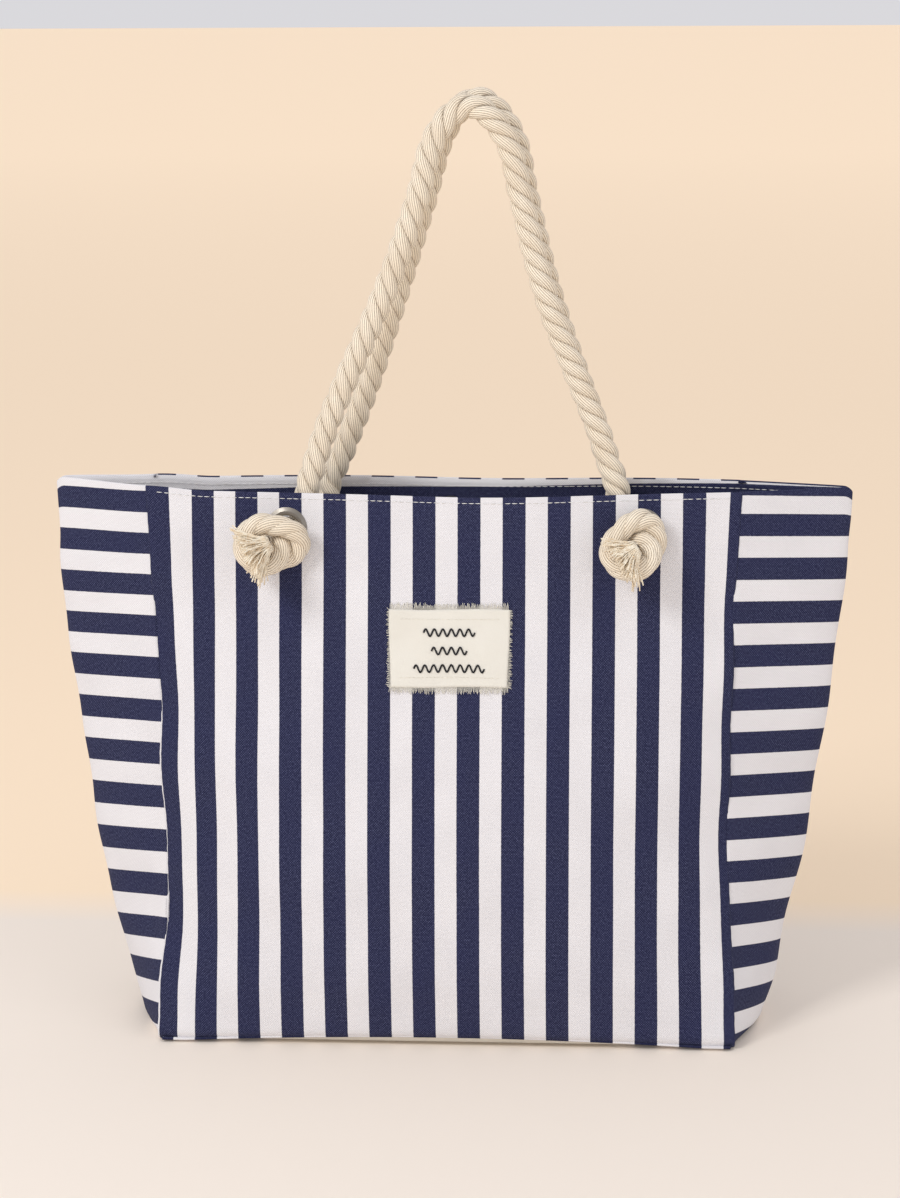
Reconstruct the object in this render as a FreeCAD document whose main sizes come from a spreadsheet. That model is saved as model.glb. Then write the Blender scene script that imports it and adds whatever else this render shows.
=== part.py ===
import FreeCAD, Part
import math
import os
import Sketcher
from FreeCAD import Placement, Rotation, Vector

# A striped canvas beach bag: centre panel, folded side gussets and two rope handles
# that are knotted outside metal eyelets. Millimetres. The origin is the middle of the
# base's underside, the front faces -Y, +X is to the right and +Z is up.

DIMENSIONS = [
    ("bag_rise", 350.0, "base to rim"),
    ("base_length", 366.0, "base, left to right"),
    ("base_depth", 140.0, "base, front to back"),
    ("rim_depth", 70.0, "mouth at its middle, outside to outside"),
    ("belly_low_rise", 90.0, "height where the stuffed bag is deepest"),
    ("belly_low_depth", 146.0, "depth there at the middle"),
    ("belly_mid_rise", 180.0, "height where it starts to narrow"),
    ("belly_mid_depth", 124.0, "depth there at the middle"),
    ("belly_high_rise", 265.0, "height below the eyelets"),
    ("belly_high_depth", 93.0, "depth there at the middle"),
    ("fold_low_rise", 51.0, "height where the gusset fold is fold_low_reach out"),
    ("fold_mid_rise", 133.0, "height of the next measured fold point"),
    ("fold_high_rise", 255.0, "height of the last one below the rim"),
    ("fold_base_reach", 202.0, "gusset fold from the middle plane, at the base"),
    ("fold_low_reach", 216.0, "gusset fold from the middle plane, low"),
    ("fold_mid_reach", 232.0, "gusset fold from the middle plane, middle"),
    ("fold_high_reach", 246.5, "gusset fold from the middle plane, high"),
    ("fold_rim_reach", 252.0, "gusset fold from the middle plane, at the rim"),
    ("seam_waist_rise", 150.0, "height where the front seams are closest"),
    ("seam_waist_reach", 178.0, "front seam from the middle plane there"),
    ("seam_rim_reach", 184.0, "front seam from the middle plane, at the rim"),
    ("seam_low_depth", 94.0, "front seam to back seam at belly_low_rise"),
    ("seam_mid_depth", 80.0, "front seam to back seam at belly_mid_rise"),
    ("seam_high_depth", 63.0, "front seam to back seam at belly_high_rise"),
    ("seam_rim_depth", 44.0, "front seam to back seam at the rim"),
    ("canvas", 1.2, "canvas thickness"),
    ("layer_gap", 0.9, "room between the canvas and its facing"),
    ("loose", 0.2, "clearance between neighbouring layers"),
    ("facing_drop", 45.0, "height of the band folded inside the rim"),
    ("lining_sheet", 0.4, "lining thickness"),
    ("lining_gap", 0.4, "room between the canvas and the lining"),
    ("lining_drop", 2.0, "lining's top edge below the facing"),
    ("eyelet_drop", 22.0, "eyelet centre below the rim"),
    ("front_eyelet_span", 222.0, "front eyelets, centre to centre"),
    ("front_eyelet_shift", 12.0, "middle of the front eyelets from the middle plane"),
    ("back_eyelet_span", 208.0, "back eyelets, centre to centre"),
    ("back_eyelet_shift", 18.0, "middle of the back eyelets from the middle plane"),
    ("eyelet_wide", 26.0, "eyelet flange diameter"),
    ("eyelet_bore", 16.0, "eyelet hole diameter"),
    ("eyelet_wall", 0.5, "thickness of the eyelet's barrel"),
    ("eyelet_dome", 1.5, "how far the flange stands proud"),
    ("eyelet_seat", 0.15, "flange clear of the cloth"),
    ("eyelet_play", 0.1, "clearance round an eyelet's barrel"),
    ("eyelet_spill", 0.4, "barrel carried on past the inner cloth and washer"),
    ("eyelet_crown_out", 2.6, "outer edge of the flange's flat top, from the bore"),
    ("eyelet_crown_in", 1.0, "inner edge of the flange's flat top, from the bore"),
    ("washer_step", 1.5, "washer's edge inside the flange's edge"),
    ("washer_sheet", 0.6, "washer thickness"),
    ("rope_diameter", 15.0, "three-strand rope"),
    ("rope_bend", 10.0, "bend radius of the rope behind an eyelet"),
    ("rope_nose", 9.0, "rope carried out of the eyelet into its knot"),
    ("rope_split", 0.5, "gap between the fixed rope end and the swinging rope"),
    ("handle_touch", 0.5, "gap between the two handles where they lean together"),
    ("handle_foot_spare", 6.0, "rope drawn below the rim, then cut level"),
    ("handle_low_rise", 56.0, "height of the handle's low section above the rim"),
    ("handle_mid_rise", 116.0, "height of the handle's middle section above the rim"),
    ("handle_neck_rise", 206.0, "height of the handle's narrow neck above the rim"),
    ("handle_shoulder_rise", 227.0, "height of the rounded shoulder above the rim"),
    ("front_rim_span", 193.5, "front handle's legs at the rim"),
    ("front_rim_shift", 10.0, "middle of those legs"),
    ("front_low_span", 156.0, "front handle's legs at the low section"),
    ("front_low_shift", 10.2, "middle of those legs"),
    ("front_mid_span", 105.0, "front handle's legs at the middle section"),
    ("front_mid_shift", 11.7, "middle of those legs"),
    ("front_neck_span", 51.5, "front handle's legs at the neck"),
    ("front_neck_shift", 15.7, "middle of those legs"),
    ("front_shoulder_span", 35.0, "front handle at the shoulder"),
    ("front_shoulder_shift", 15.5, "middle of the shoulder"),
    ("front_top_shift", 14.0, "front handle's highest point from the middle plane"),
    ("front_top_rise", 238.0, "front handle's highest centre point above the rim"),
    ("back_rim_span", 182.0, "back handle's legs at the rim"),
    ("back_rim_shift", 14.5, "middle of those legs"),
    ("back_low_span", 139.0, "back handle's legs at the low section"),
    ("back_low_shift", 16.5, "middle of those legs"),
    ("back_mid_span", 98.7, "back handle's legs at the middle section"),
    ("back_mid_shift", 16.3, "middle of those legs"),
    ("back_neck_span", 51.0, "back handle's legs at the neck"),
    ("back_neck_shift", 19.5, "middle of those legs"),
    ("back_shoulder_span", 36.0, "back handle at the shoulder"),
    ("back_shoulder_shift", 20.0, "middle of the shoulder"),
    ("back_top_shift", 19.5, "back handle's highest point from the middle plane"),
    ("back_top_rise", 241.0, "back handle's highest centre point above the rim"),
    ("knot_radius", 18.5, "main lobe of a knot"),
    ("knot_stand_off", 4.2, "knot clear of the wall at its eyelet"),
    ("knot_lobe_radius", 16.0, "second lobe of a knot"),
    ("knot_lobe_shift", 6.0, "second lobe's centre beside the main one"),
    ("knot_lobe_out", 1.5, "second lobe's centre further from the wall"),
    ("knot_lobe_drop", 3.0, "second lobe's centre below the main one"),
    ("knot_sag", 9.0, "knot centre below the eyelet centre"),
    ("knot_lean", 5.0, "knot centre left of the eyelet centre"),
    ("tuft_reach", 30.0, "frayed end from the knot centre, left side"),
    ("tuft_short_reach", 24.0, "frayed end from the knot centre, right side"),
    ("tuft_root", 8.0, "frayed end's radius at the knot"),
    ("tuft_tip", 11.0, "frayed end's radius at its open end"),
    ("label_wide", 74.0, "label patch, left to right"),
    ("label_tall", 48.5, "label patch, top to bottom"),
    ("label_sheet", 0.6, "label patch thickness"),
    ("label_lift", 0.7, "label patch clear of the curved panel"),
    ("label_shift", 3.4, "label patch centre from the middle plane"),
    ("label_drop", 95.0, "label patch centre below the rim"),
    ("mark_wide", 46.0, "longest stitched mark on the label"),
    ("mark_tall", 2.4, "height of a stitched mark"),
    ("mark_pitch", 11.0, "distance between the stitched marks"),
    ("mark_sheet", 0.4, "thickness of a stitched mark"),
    ("mark_lift", 0.05, "stitched mark clear of the label"),
    ("snap_diameter", 18.0, "magnetic snap"),
    ("snap_pin", 7.0, "diameter of the stud's pin"),
    ("snap_stud_sheet", 1.6, "thickness of the stud's disc"),
    ("snap_pin_rise", 1.8, "length of the stud's pin"),
    ("snap_socket_sheet", 3.6, "thickness of the magnetic socket"),
    ("snap_plate_sheet", 0.5, "thickness of a backing plate"),
    ("snap_plate_wide", 20.0, "diameter of a backing plate"),
    ("snap_prong_pitch", 9.0, "distance between a snap's two prongs"),
    ("snap_prong_wide", 3.0, "width of a prong"),
    ("snap_prong_sheet", 0.6, "thickness of a prong"),
    ("snap_prong_play", 0.1, "clearance round a prong"),
    ("snap_seat", 0.1, "snap clear of the facing"),
    ("snap_pin_play", 0.4, "clearance round the pin in its socket"),
    ("snap_recess_floor", 1.2, "socket left below the pin's recess"),
    ("pocket_wide", 176.0, "inner pocket, left to right"),
    ("pocket_tall", 120.0, "inner pocket, top to bottom"),
    ("pocket_sheet", 0.8, "pocket cloth, two layers"),
    ("pocket_zip_rise", 255.0, "zip line above the base"),
    ("pocket_stand_off", 2.4, "pocket cloth in front of the lining at its side edges"),
    ("tape_wide", 11.0, "width of one zip tape"),
    ("tape_sheet", 0.5, "zip tape thickness"),
    ("tape_drop", 2.0, "pocket cloth's top edge below the zip's coils"),
    ("coil_radius", 1.1, "half thickness of a zip coil"),
    ("coil_gap", 1.2, "gap between the two coils"),
    ("coil_lift", 0.05, "coil clear of its tape"),
    ("zip_run", 160.0, "length of the zip coils"),
    ("stop_long", 2.0, "zip stop along the zip"),
    ("stop_lead", 1.2, "zip stop's middle past the end of the coils"),
    ("stop_lift", 0.1, "zip stop clear of the tapes"),
    ("slider_long", 9.0, "zip slider along the zip"),
    ("slider_tall", 7.0, "zip slider across the zip"),
    ("slider_sheet", 0.9, "thickness of a slider plate"),
    ("slider_play", 0.3, "slider clearance round the coils"),
    ("slider_lead", 1.5, "shut slider's end from the end of the coils"),
    ("neck_play", 0.5, "slider neck narrower than the gap between the coils"),
    ("lug_sheet", 0.9, "thickness of the slider's two lugs"),
    ("lug_deep", 2.4, "width of a lug"),
    ("lug_gap", 0.3, "lug clear of the puller"),
    ("puller_long", 22.0, "zip puller"),
    ("puller_wide", 5.0, "zip puller width"),
    ("puller_sheet", 1.2, "zip puller thickness"),
    ("puller_pin", 0.6, "radius of the bar that holds the puller"),
    ("puller_play", 0.2, "clearance round that bar"),
    ("puller_eye_wall", 0.6, "metal round the puller's eye"),
    ("puller_stand_off", 0.7, "puller's eye clear of the slider"),
]

STATIONS = 8  # lofted sheets are drawn through this many equal steps of height
BAND_STATIONS = 3  # the same for the narrow facing band
HANDLE_STATIONS = 28  # circles along a handle rope
FLAT_BOW = 0.002  # bow left in a flat wall, so its outline is still an arc
MARK_SHARES = (0.8, 0.5, 1.0)  # lengths of the label's marks, as shares of the longest
LEFT_TUFT_WAY = (-0.8, 0.3, -0.6)  # across, out from the wall and up
RIGHT_TUFT_WAY = (-0.4, 0.6, -0.7)

doc = FreeCAD.newDocument("BeachBag")
sheet = doc.addObject("Spreadsheet::Sheet", "Dimensions")
nodes = []


def fill_sheet():
    for row, (alias, value, meaning) in enumerate(DIMENSIONS, start=1):
        sheet.set("A%d" % row, alias)
        sheet.set("B%d" % row, str(value))
        sheet.set("C%d" % row, meaning)
        sheet.setAlias("B%d" % row, alias)
    doc.recompute()


def size(alias):
    return float(sheet.get(alias))


def keep(obj, label, placement=None):
    """Names a finished sub-part and marks it for export."""
    obj.Label = label
    if placement is not None:
        obj.Placement = placement
    nodes.append(obj)
    return obj


def feature(name, shape):
    obj = doc.addObject("Part::Feature", name)
    obj.Shape = shape
    return obj


def bind(obj, **expressions):
    for attribute, expression in expressions.items():
        obj.setExpression(attribute, expression)
    return obj


# ---- the bag's shape as laws of height ----


def height_curve(pairs):
    """A smooth value(height) through (height, value) pairs."""
    curve = Part.BSplineCurve()
    points = [Vector(height, value, 0) for height, value in pairs]
    curve.interpolate(Points=points, Parameters=[height for height, _ in pairs])
    return lambda height: curve.value(height).y


def shape_laws():
    half_base = size("base_length") / 2
    rise = size("bag_rise")
    fold = height_curve([
        (0.0, size("fold_base_reach")),
        (size("fold_low_rise"), size("fold_low_reach")),
        (size("fold_mid_rise"), size("fold_mid_reach")),
        (size("fold_high_rise"), size("fold_high_reach")),
        (rise, size("fold_rim_reach")),
    ])
    seam = height_curve([
        (0.0, half_base),
        (size("seam_waist_rise"), size("seam_waist_reach")),
        (rise, size("seam_rim_reach")),
    ])
    return fold, seam


def half_depth_curve(part, rim_alias):
    """Half depth against height for the middle plane or for the seams."""
    pairs = [(0.0, size("base_depth") / 2)]
    for level in ("low", "mid", "high"):
        depth = size("%s_%s_depth" % (part, level)) / 2
        pairs.append((size("belly_%s_rise" % level), depth))
    pairs.append((size("bag_rise"), size(rim_alias) / 2))
    return height_curve(pairs)


def inset_along_x(z, inset):
    """How far a gusset's surface moves along X for an inset square to its cloth."""
    run = fold_reach(z) - seam_reach(z)
    return inset * math.hypot(run, seam_depth(z)) / seam_depth(z)


def wall_depth(x, z):
    """Half depth of the outside of the front or back panel."""
    half_chord = seam_reach(z)
    bow = middle_depth(z) - seam_depth(z)
    if bow < 2 * FLAT_BOW:
        return seam_depth(z)
    radius = (half_chord ** 2 + bow ** 2) / (2 * bow)
    return middle_depth(z) - radius + math.sqrt(radius ** 2 - x ** 2)


def wall_frame(x, z, side, inset=0.0):
    """A placement on a wall, its Z axis outwards and its Y axis up the wall."""
    step = 1.0
    depth = wall_depth(x, z)
    slope_x = (wall_depth(x + step, z) - wall_depth(x - step, z)) / (2 * step)
    slope_z = (wall_depth(x, z + step) - wall_depth(x, z - step)) / (2 * step)
    outward = Vector(-slope_x, side, -slope_z)
    outward.normalize()
    up = Vector(0, 0, 1) - outward * outward.z
    up.normalize()
    right = up.cross(outward)
    turn = Rotation(right, up, outward, "ZXY")
    return Placement(Vector(x, side * depth, z) - outward * inset, turn)


# ---- sections ----


def seam_corner(z, inset):
    """Where the inset wall meets the inset gusset, in the +X, +Y quarter."""
    run = fold_reach(z) - seam_reach(z)
    x = seam_reach(z) + run * inset / seam_depth(z) - inset_along_x(z, inset)
    return Vector(x, seam_depth(z) - inset, z)


def panel_section(z, side):
    """Thin closed outline of the front or back canvas."""
    canvas = size("canvas")
    reach = seam_reach(z)
    edges = []
    for inset, way in ((0.0, 1), (canvas, -1)):
        start = Vector(-reach * way, side * (seam_depth(z) - inset), z)
        top = Vector(0, side * (middle_depth(z) - inset + FLAT_BOW), z)
        end = Vector(reach * way, side * (seam_depth(z) - inset), z)
        edges.append(Part.Arc(start, top, end).toShape())
    caps = [
        Part.makeLine(edges[0].Vertexes[-1].Point, edges[1].Vertexes[0].Point),
        Part.makeLine(edges[1].Vertexes[-1].Point, edges[0].Vertexes[0].Point),
    ]
    return Part.Wire(Part.__sortEdges__([edges[0], caps[0], edges[1], caps[1]]))


def gusset_section(z, side):
    """Thin V outline of a side gusset, its ends inside the front and back canvas."""
    canvas = size("canvas")
    end_gap = canvas + size("loose")
    end_depth = seam_depth(z) - end_gap
    end_reach = seam_reach(z) + (fold_reach(z) - seam_reach(z)) * end_gap / seam_depth(z)
    outline = []
    for inset, way in ((0.0, 1), (canvas, -1)):
        shift = inset_along_x(z, inset)
        outline += [
            Vector(side * (end_reach - shift), -way * end_depth, z),
            Vector(side * (fold_reach(z) - shift), 0, z),
            Vector(side * (end_reach - shift), way * end_depth, z),
        ]
    return Part.makePolygon(outline + outline[:1])


def facing_section(z, side):
    """Thin outline of the band inside the rim, from one gusset fold to the other."""
    outer = size("canvas") + size("layer_gap")
    split = size("loose")
    edges = []
    for inset, way in ((outer, 1), (outer + size("canvas"), -1)):
        corner = seam_corner(z, inset)
        tip = fold_reach(z) - inset_along_x(z, inset) - split
        points = [
            Vector(-tip * way, side * split, z),
            Vector(-corner.x * way, side * corner.y, z),
            Vector(corner.x * way, side * corner.y, z),
            Vector(tip * way, side * split, z),
        ]
        middle = Vector(0, side * (middle_depth(z) - inset), z)
        edges += [
            Part.makeLine(points[0], points[1]),
            Part.Arc(points[1], middle, points[2]).toShape(),
            Part.makeLine(points[2], points[3]),
        ]
    edges.insert(3, Part.makeLine(edges[2].Vertexes[-1].Point, edges[3].Vertexes[0].Point))
    edges.append(Part.makeLine(edges[-1].Vertexes[-1].Point, edges[0].Vertexes[0].Point))
    return Part.Wire(edges)


def ring_section(z, inset):
    """Whole closed outline of the bag, inset all round."""
    corner = seam_corner(z, inset)
    tip = fold_reach(z) - inset_along_x(z, inset)
    middle = middle_depth(z) - inset + FLAT_BOW
    near = Part.Arc(
        Vector(-corner.x, -corner.y, z), Vector(0, -middle, z), Vector(corner.x, -corner.y, z)
    ).toShape()
    far = Part.Arc(
        Vector(corner.x, corner.y, z), Vector(0, middle, z), Vector(-corner.x, corner.y, z)
    ).toShape()
    right = [
        Part.makeLine(Vector(corner.x, -corner.y, z), Vector(tip, 0, z)),
        Part.makeLine(Vector(tip, 0, z), Vector(corner.x, corner.y, z)),
    ]
    left = [
        Part.makeLine(Vector(-corner.x, corner.y, z), Vector(-tip, 0, z)),
        Part.makeLine(Vector(-tip, 0, z), Vector(-corner.x, -corner.y, z)),
    ]
    return Part.Wire([near] + right + [far] + left)


def lofted(section, low, high, steps, *arguments):
    heights = [low + (high - low) * step / steps for step in range(steps + 1)]
    return Part.makeLoft([section(z, *arguments) for z in heights], True, False)


# ---- helpers for sketched bodies ----


def origin_plane(body, role):
    return next(part for part in body.Origin.OriginFeatures if part.Role == role)


def outline_sketch(body, name, role, corners):
    """A closed sketch of straight lines; each corner is a pair of expressions."""
    sketch = body.newObject("Sketcher::SketchObject", name)
    sketch.AttachmentSupport = [(origin_plane(body, role), "")]
    sketch.MapMode = "FlatFace"
    count = len(corners)
    rough = [Vector(evaluated(across), evaluated(up), 0) for across, up in corners]
    for index in range(count):
        sketch.addGeometry(Part.LineSegment(rough[index], rough[(index + 1) % count]), False)
    for index in range(count):
        sketch.addConstraint(
            Sketcher.Constraint("Coincident", index, 2, (index + 1) % count, 1)
        )
    for index, (across, up) in enumerate(corners):
        for kind, axis, expression in (("DistanceX", -2, across), ("DistanceY", -1, up)):
            if expression == "0":
                sketch.addConstraint(Sketcher.Constraint("PointOnObject", index, 1, axis))
                continue
            row = sketch.addConstraint(
                Sketcher.Constraint(kind, -1, 1, index, 1, evaluated(expression))
            )
            sketch.setExpression("Constraints[%d]" % row, in_sheet(expression))
    return sketch


def in_sheet(expression):
    """Writes sheet aliases in an expression as Dimensions.alias."""
    words = expression.split(" ")
    known = {alias for alias, _, _ in DIMENSIONS}
    return " ".join("Dimensions." + word if word in known else word for word in words)


def evaluated(expression):
    """The present value of an expression of aliases, numbers, + - * / and spaces."""
    probe = doc.addObject("App::FeaturePython", "Probe")
    probe.addProperty("App::PropertyFloat", "Answer")
    probe.setExpression("Answer", in_sheet(expression))
    doc.recompute()
    answer = probe.Answer
    doc.removeObject(probe.Name)
    return answer


def padded_body(name, corners, thickness, role="XY_Plane"):
    body = doc.addObject("PartDesign::Body", name)
    sketch = outline_sketch(body, name + "Outline", role, corners)
    pad = body.newObject("PartDesign::Pad", name + "Pad")
    pad.Profile = sketch
    pad.setExpression("Length", in_sheet(thickness))
    doc.recompute()
    return body


def rectangle(across, up, lift="0"):
    """Corners of a rectangle centred on the sketch's upright axis."""
    half = "%s / 2" % across
    return [
        ("-( %s )" % half, lift),
        (half, lift),
        (half, "%s + %s" % (lift, up)),
        ("-( %s )" % half, "%s + %s" % (lift, up)),
    ]


def turned_body(name, corners):
    """A body of revolution about its own Z axis; corners are (radius, height)."""
    body = doc.addObject("PartDesign::Body", name)
    sketch = outline_sketch(body, name + "Profile", "XZ_Plane", corners)
    turn = body.newObject("PartDesign::Revolution", name + "Turn")
    turn.Profile = sketch
    turn.ReferenceAxis = (sketch, ["V_Axis"])
    turn.Angle = 360.0
    doc.recompute()
    return body


# ---- sub-parts ----


def eyelet_places():
    """The four eyelets: name, side of the bag, and centre on the wall."""
    height = size("bag_rise") - size("eyelet_drop")
    places = []
    for face, side in (("front", -1), ("back", 1)):
        half = size(face + "_eyelet_span") / 2
        shift = size(face + "_eyelet_shift")
        places.append((face + "_left", side, shift - half, height))
        places.append((face + "_right", side, shift + half, height))
    return places


def with_holes(blank, label, tools):
    """Cuts a row of tools out of a sheet of cloth."""
    group = doc.addObject("Part::MultiFuse", label + "_holes")
    group.Shapes = tools
    cut = doc.addObject("Part::Cut", label)
    cut.Base = blank
    cut.Tool = group
    return keep(cut, label)


def eyelet_drill(name, side, x, z):
    """A cylinder through the wall, wide enough for an eyelet's barrel."""
    drill = doc.addObject("Part::Cylinder", name)
    bind(drill, Radius="Dimensions.eyelet_bore / 2 + Dimensions.eyelet_wall + Dimensions.eyelet_play",
         Height="4 * (Dimensions.canvas + Dimensions.layer_gap)")
    middle = size("canvas") + size("layer_gap") / 2
    frame = wall_frame(x, z, side, middle)
    reach = Vector(0, 0, -2 * (size("canvas") + size("layer_gap")))
    drill.Placement = frame.multiply(Placement(reach, Rotation()))
    return drill


def prong_slots(name, frame):
    """Two slots through the facing for a snap's prongs."""
    slots = []
    for index, way in enumerate((-1, 1)):
        slot = doc.addObject("Part::Box", "%s_slot_%d" % (name, index))
        bind(slot, Length="Dimensions.snap_prong_sheet + 2 * Dimensions.snap_prong_play",
             Width="Dimensions.snap_prong_wide + 2 * Dimensions.snap_prong_play",
             Height="6 * Dimensions.canvas")
        play = size("snap_prong_play")
        corner = Vector(
            way * size("snap_prong_pitch") / 2 - size("snap_prong_sheet") / 2 - play,
            -size("snap_prong_wide") / 2 - play,
            -3 * size("canvas"),
        )
        slot.Placement = frame.multiply(Placement(corner, Rotation()))
        slots.append(slot)
    return slots


def snap_frame(side):
    """On the inside face of the facing at the middle plane, its Z axis inwards."""
    depth = 2 * size("canvas") + size("layer_gap")
    height = size("bag_rise") - size("eyelet_drop")
    outward = wall_frame(0, height, side, depth)
    return outward.multiply(Placement(Vector(), Rotation(Vector(0, 1, 0), 180)))


def make_cloth():
    rise = size("bag_rise")
    band = rise - size("facing_drop")
    for face, side in (("front", -1), ("back", 1)):
        places = [place for place in eyelet_places() if place[1] == side]
        panel = feature(face + "_panel_blank", lofted(panel_section, 0, rise, STATIONS, side))
        drills = [eyelet_drill(name + "_panel_drill", side, x, z) for name, _, x, z in places]
        with_holes(panel, face + "_panel", drills)
        strip = lofted(facing_section, band, rise, BAND_STATIONS, side)
        drills = [eyelet_drill(name + "_facing_drill", side, x, z) for name, _, x, z in places]
        drills += prong_slots(face + "_facing", snap_frame(side))
        with_holes(feature(face + "_facing_blank", strip), face + "_facing", drills)
    for name, side in (("left_gusset", -1), ("right_gusset", 1)):
        keep(feature(name, lofted(gusset_section, 0, rise, STATIONS, side)), name)


def make_base():
    """A flat floor with six corners: the gussets bulge past the panels' seams."""
    half = "base_length / 2 - canvas - 4 * loose"
    deep = "base_depth / 2 - canvas - 4 * loose"
    tip = "fold_base_reach - canvas - 5 * loose"
    corners = [
        ("-( %s )" % half, "-( %s )" % deep),
        (half, "-( %s )" % deep),
        (tip, "0"),
        (half, deep),
        ("-( %s )" % half, deep),
        ("-( %s )" % tip, "0"),
    ]
    keep(padded_body("base_panel_body", corners, "canvas"), "base_panel")


def make_lining():
    """One bag of thin cloth that hangs inside the canvas, below the facing."""
    floor = size("canvas") + size("lining_gap")
    band = size("bag_rise") - size("facing_drop")
    top = band - size("lining_drop")
    outside = size("canvas") + size("lining_gap")
    inside = outside + size("lining_sheet")
    skin = lofted(ring_section, floor, top, STATIONS, outside)
    hollow = lofted(ring_section, floor + size("lining_sheet"), band, STATIONS, inside)
    keep(feature("lining_bag", skin.cut(hollow)), "lining")


def make_label():
    frame = wall_frame(size("label_shift"), size("bag_rise") - size("label_drop"), -1)
    lift = Placement(Vector(0, -size("label_tall") / 2, size("label_lift")), Rotation())
    patch = padded_body(
        "label_patch_body", rectangle("label_wide", "label_tall"), "label_sheet"
    )
    keep(patch, "label_patch", frame.multiply(lift))
    marks = []
    for index, share in enumerate(MARK_SHARES):
        mark = doc.addObject("Part::Box", "label_mark_%d" % index)
        bind(mark, Length="Dimensions.mark_wide * %s" % share,
             Width="Dimensions.mark_tall", Height="Dimensions.mark_sheet")
        corner = Vector(
            -size("mark_wide") * share / 2,
            (1 - index) * size("mark_pitch") - size("mark_tall") / 2,
            size("label_lift") + size("label_sheet") + size("mark_lift"),
        )
        mark.Placement = frame.multiply(Placement(corner, Rotation()))
        marks.append(mark)
    group = doc.addObject("Part::Compound", "label_marks")
    group.Links = marks
    keep(group, "label_stitching")


def make_eyelets():
    """A domed flange with a barrel outside, and a flat washer inside, four times."""
    wall = "2 * canvas + layer_gap"
    barrel = "eyelet_bore / 2 + eyelet_wall"
    for name, side, x, z in eyelet_places():
        profile = [
            ("eyelet_bore / 2", "-( %s + washer_sheet + eyelet_spill )" % wall),
            (barrel, "-( %s + washer_sheet + eyelet_spill )" % wall),
            (barrel, "eyelet_seat"),
            ("eyelet_wide / 2", "eyelet_seat"),
            ("eyelet_wide / 2", "eyelet_seat + eyelet_dome / 3"),
            ("eyelet_bore / 2 + eyelet_crown_out", "eyelet_seat + eyelet_dome"),
            ("eyelet_bore / 2 + eyelet_crown_in", "eyelet_seat + eyelet_dome"),
            ("eyelet_bore / 2", "eyelet_seat + eyelet_dome / 2"),
        ]
        eyelet = turned_body(name + "_eyelet_body", profile)
        keep(eyelet, name + "_eyelet", wall_frame(x, z, side))
        ring = [
            ("%s + eyelet_play" % barrel, "-( %s + loose + washer_sheet )" % wall),
            ("eyelet_wide / 2 - washer_step", "-( %s + loose + washer_sheet )" % wall),
            ("eyelet_wide / 2 - washer_step", "-( %s + loose )" % wall),
            ("%s + eyelet_play" % barrel, "-( %s + loose )" % wall),
        ]
        washer = turned_body(name + "_washer_body", ring)
        keep(washer, name + "_washer", wall_frame(x, z, side))


def rope_corner(frame):
    """Where a rope's leg, carried straight down, would meet its eyelet's axis."""
    wall = 2 * size("canvas") + size("layer_gap")
    washer = size("washer_sheet") + 2 * size("loose")
    outward = frame.Rotation.multVec(Vector(0, 0, 1))
    return frame.Base - outward * (wall + washer + size("rope_bend"))


def rim_point(name, x, side):
    """Where a rope's leg crosses the height of the rim."""
    face = name.split("_")[0]
    height = size("bag_rise") - size("eyelet_drop")
    half = size(face + "_rim_span") / 2
    across = size(face + "_rim_shift") + (half if x > 0 else -half)
    corner = rope_corner(wall_frame(x, height, side))
    return Vector(across, corner.y, size("bag_rise"))


def handle_points(face, side):
    """Centre line of a handle above the rim, from the left leg to the right."""
    rise = size("bag_rise")
    top = size(face + "_top_rise")
    touch = side * (size("rope_diameter") + size("handle_touch")) / 2
    legs = []
    for name, _, x, _ in [place for place in eyelet_places() if place[0].startswith(face)]:
        way = 1 if x > 0 else -1
        foot = rim_point(name, x, side)
        leg = [foot]
        for level in ("low", "mid", "neck", "shoulder"):
            up = size("handle_%s_rise" % level)
            half = size("%s_%s_span" % (face, level)) / 2
            across = size("%s_%s_shift" % (face, level)) + way * half
            leg.append(Vector(across, foot.y + (touch - foot.y) * up / top, rise + up))
        legs.append(leg)
    crown = Vector(size(face + "_top_shift"), touch, rise + top)
    return legs[0] + [crown] + legs[1][::-1]


def swept(path, start, way):
    """A round rope along a path that starts at a point, going a given way."""
    ring = Part.makeCircle(size("rope_diameter") / 2, start, way)
    return path.makePipeShell([Part.Wire([ring])], True, True)


def slab(low, high):
    """Everything between two heights."""
    reach = size("base_length")
    return Part.makeBox(2 * reach, reach, high - low, Vector(-reach, -reach / 2, low))


def handle_shape(face, side):
    """The rope above the rim, its feet cut level."""
    points = handle_points(face, side)
    for end, inner in ((0, 1), (-1, -2)):
        way = points[end] - points[inner]
        way.normalize()
        points[end] = points[end] + way * size("handle_foot_spare")
    line = Part.BSplineCurve()
    line.interpolate(Points=points)
    rings = [
        rope_ring(line, line.FirstParameter + line.LastParameter * step / HANDLE_STATIONS)
        for step in range(HANDLE_STATIONS + 1)
    ]
    rope = Part.makeLoft(rings, True, False)
    foot = size("bag_rise") + size("rope_split")
    return rope.common(slab(foot, foot + 2 * size("bag_rise")))


def rope_ring(line, parameter):
    """A circle square to a line that runs across the bag."""
    along = line.tangent(parameter)[0]
    across = Vector(0, 1, 0).cross(along)
    across.normalize()
    turn = Rotation(across, along.cross(across), along, "ZXY")
    ring = Part.makeCircle(size("rope_diameter") / 2)
    ring.Placement = Placement(line.value(parameter), turn)
    return Part.Wire([ring])


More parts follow.
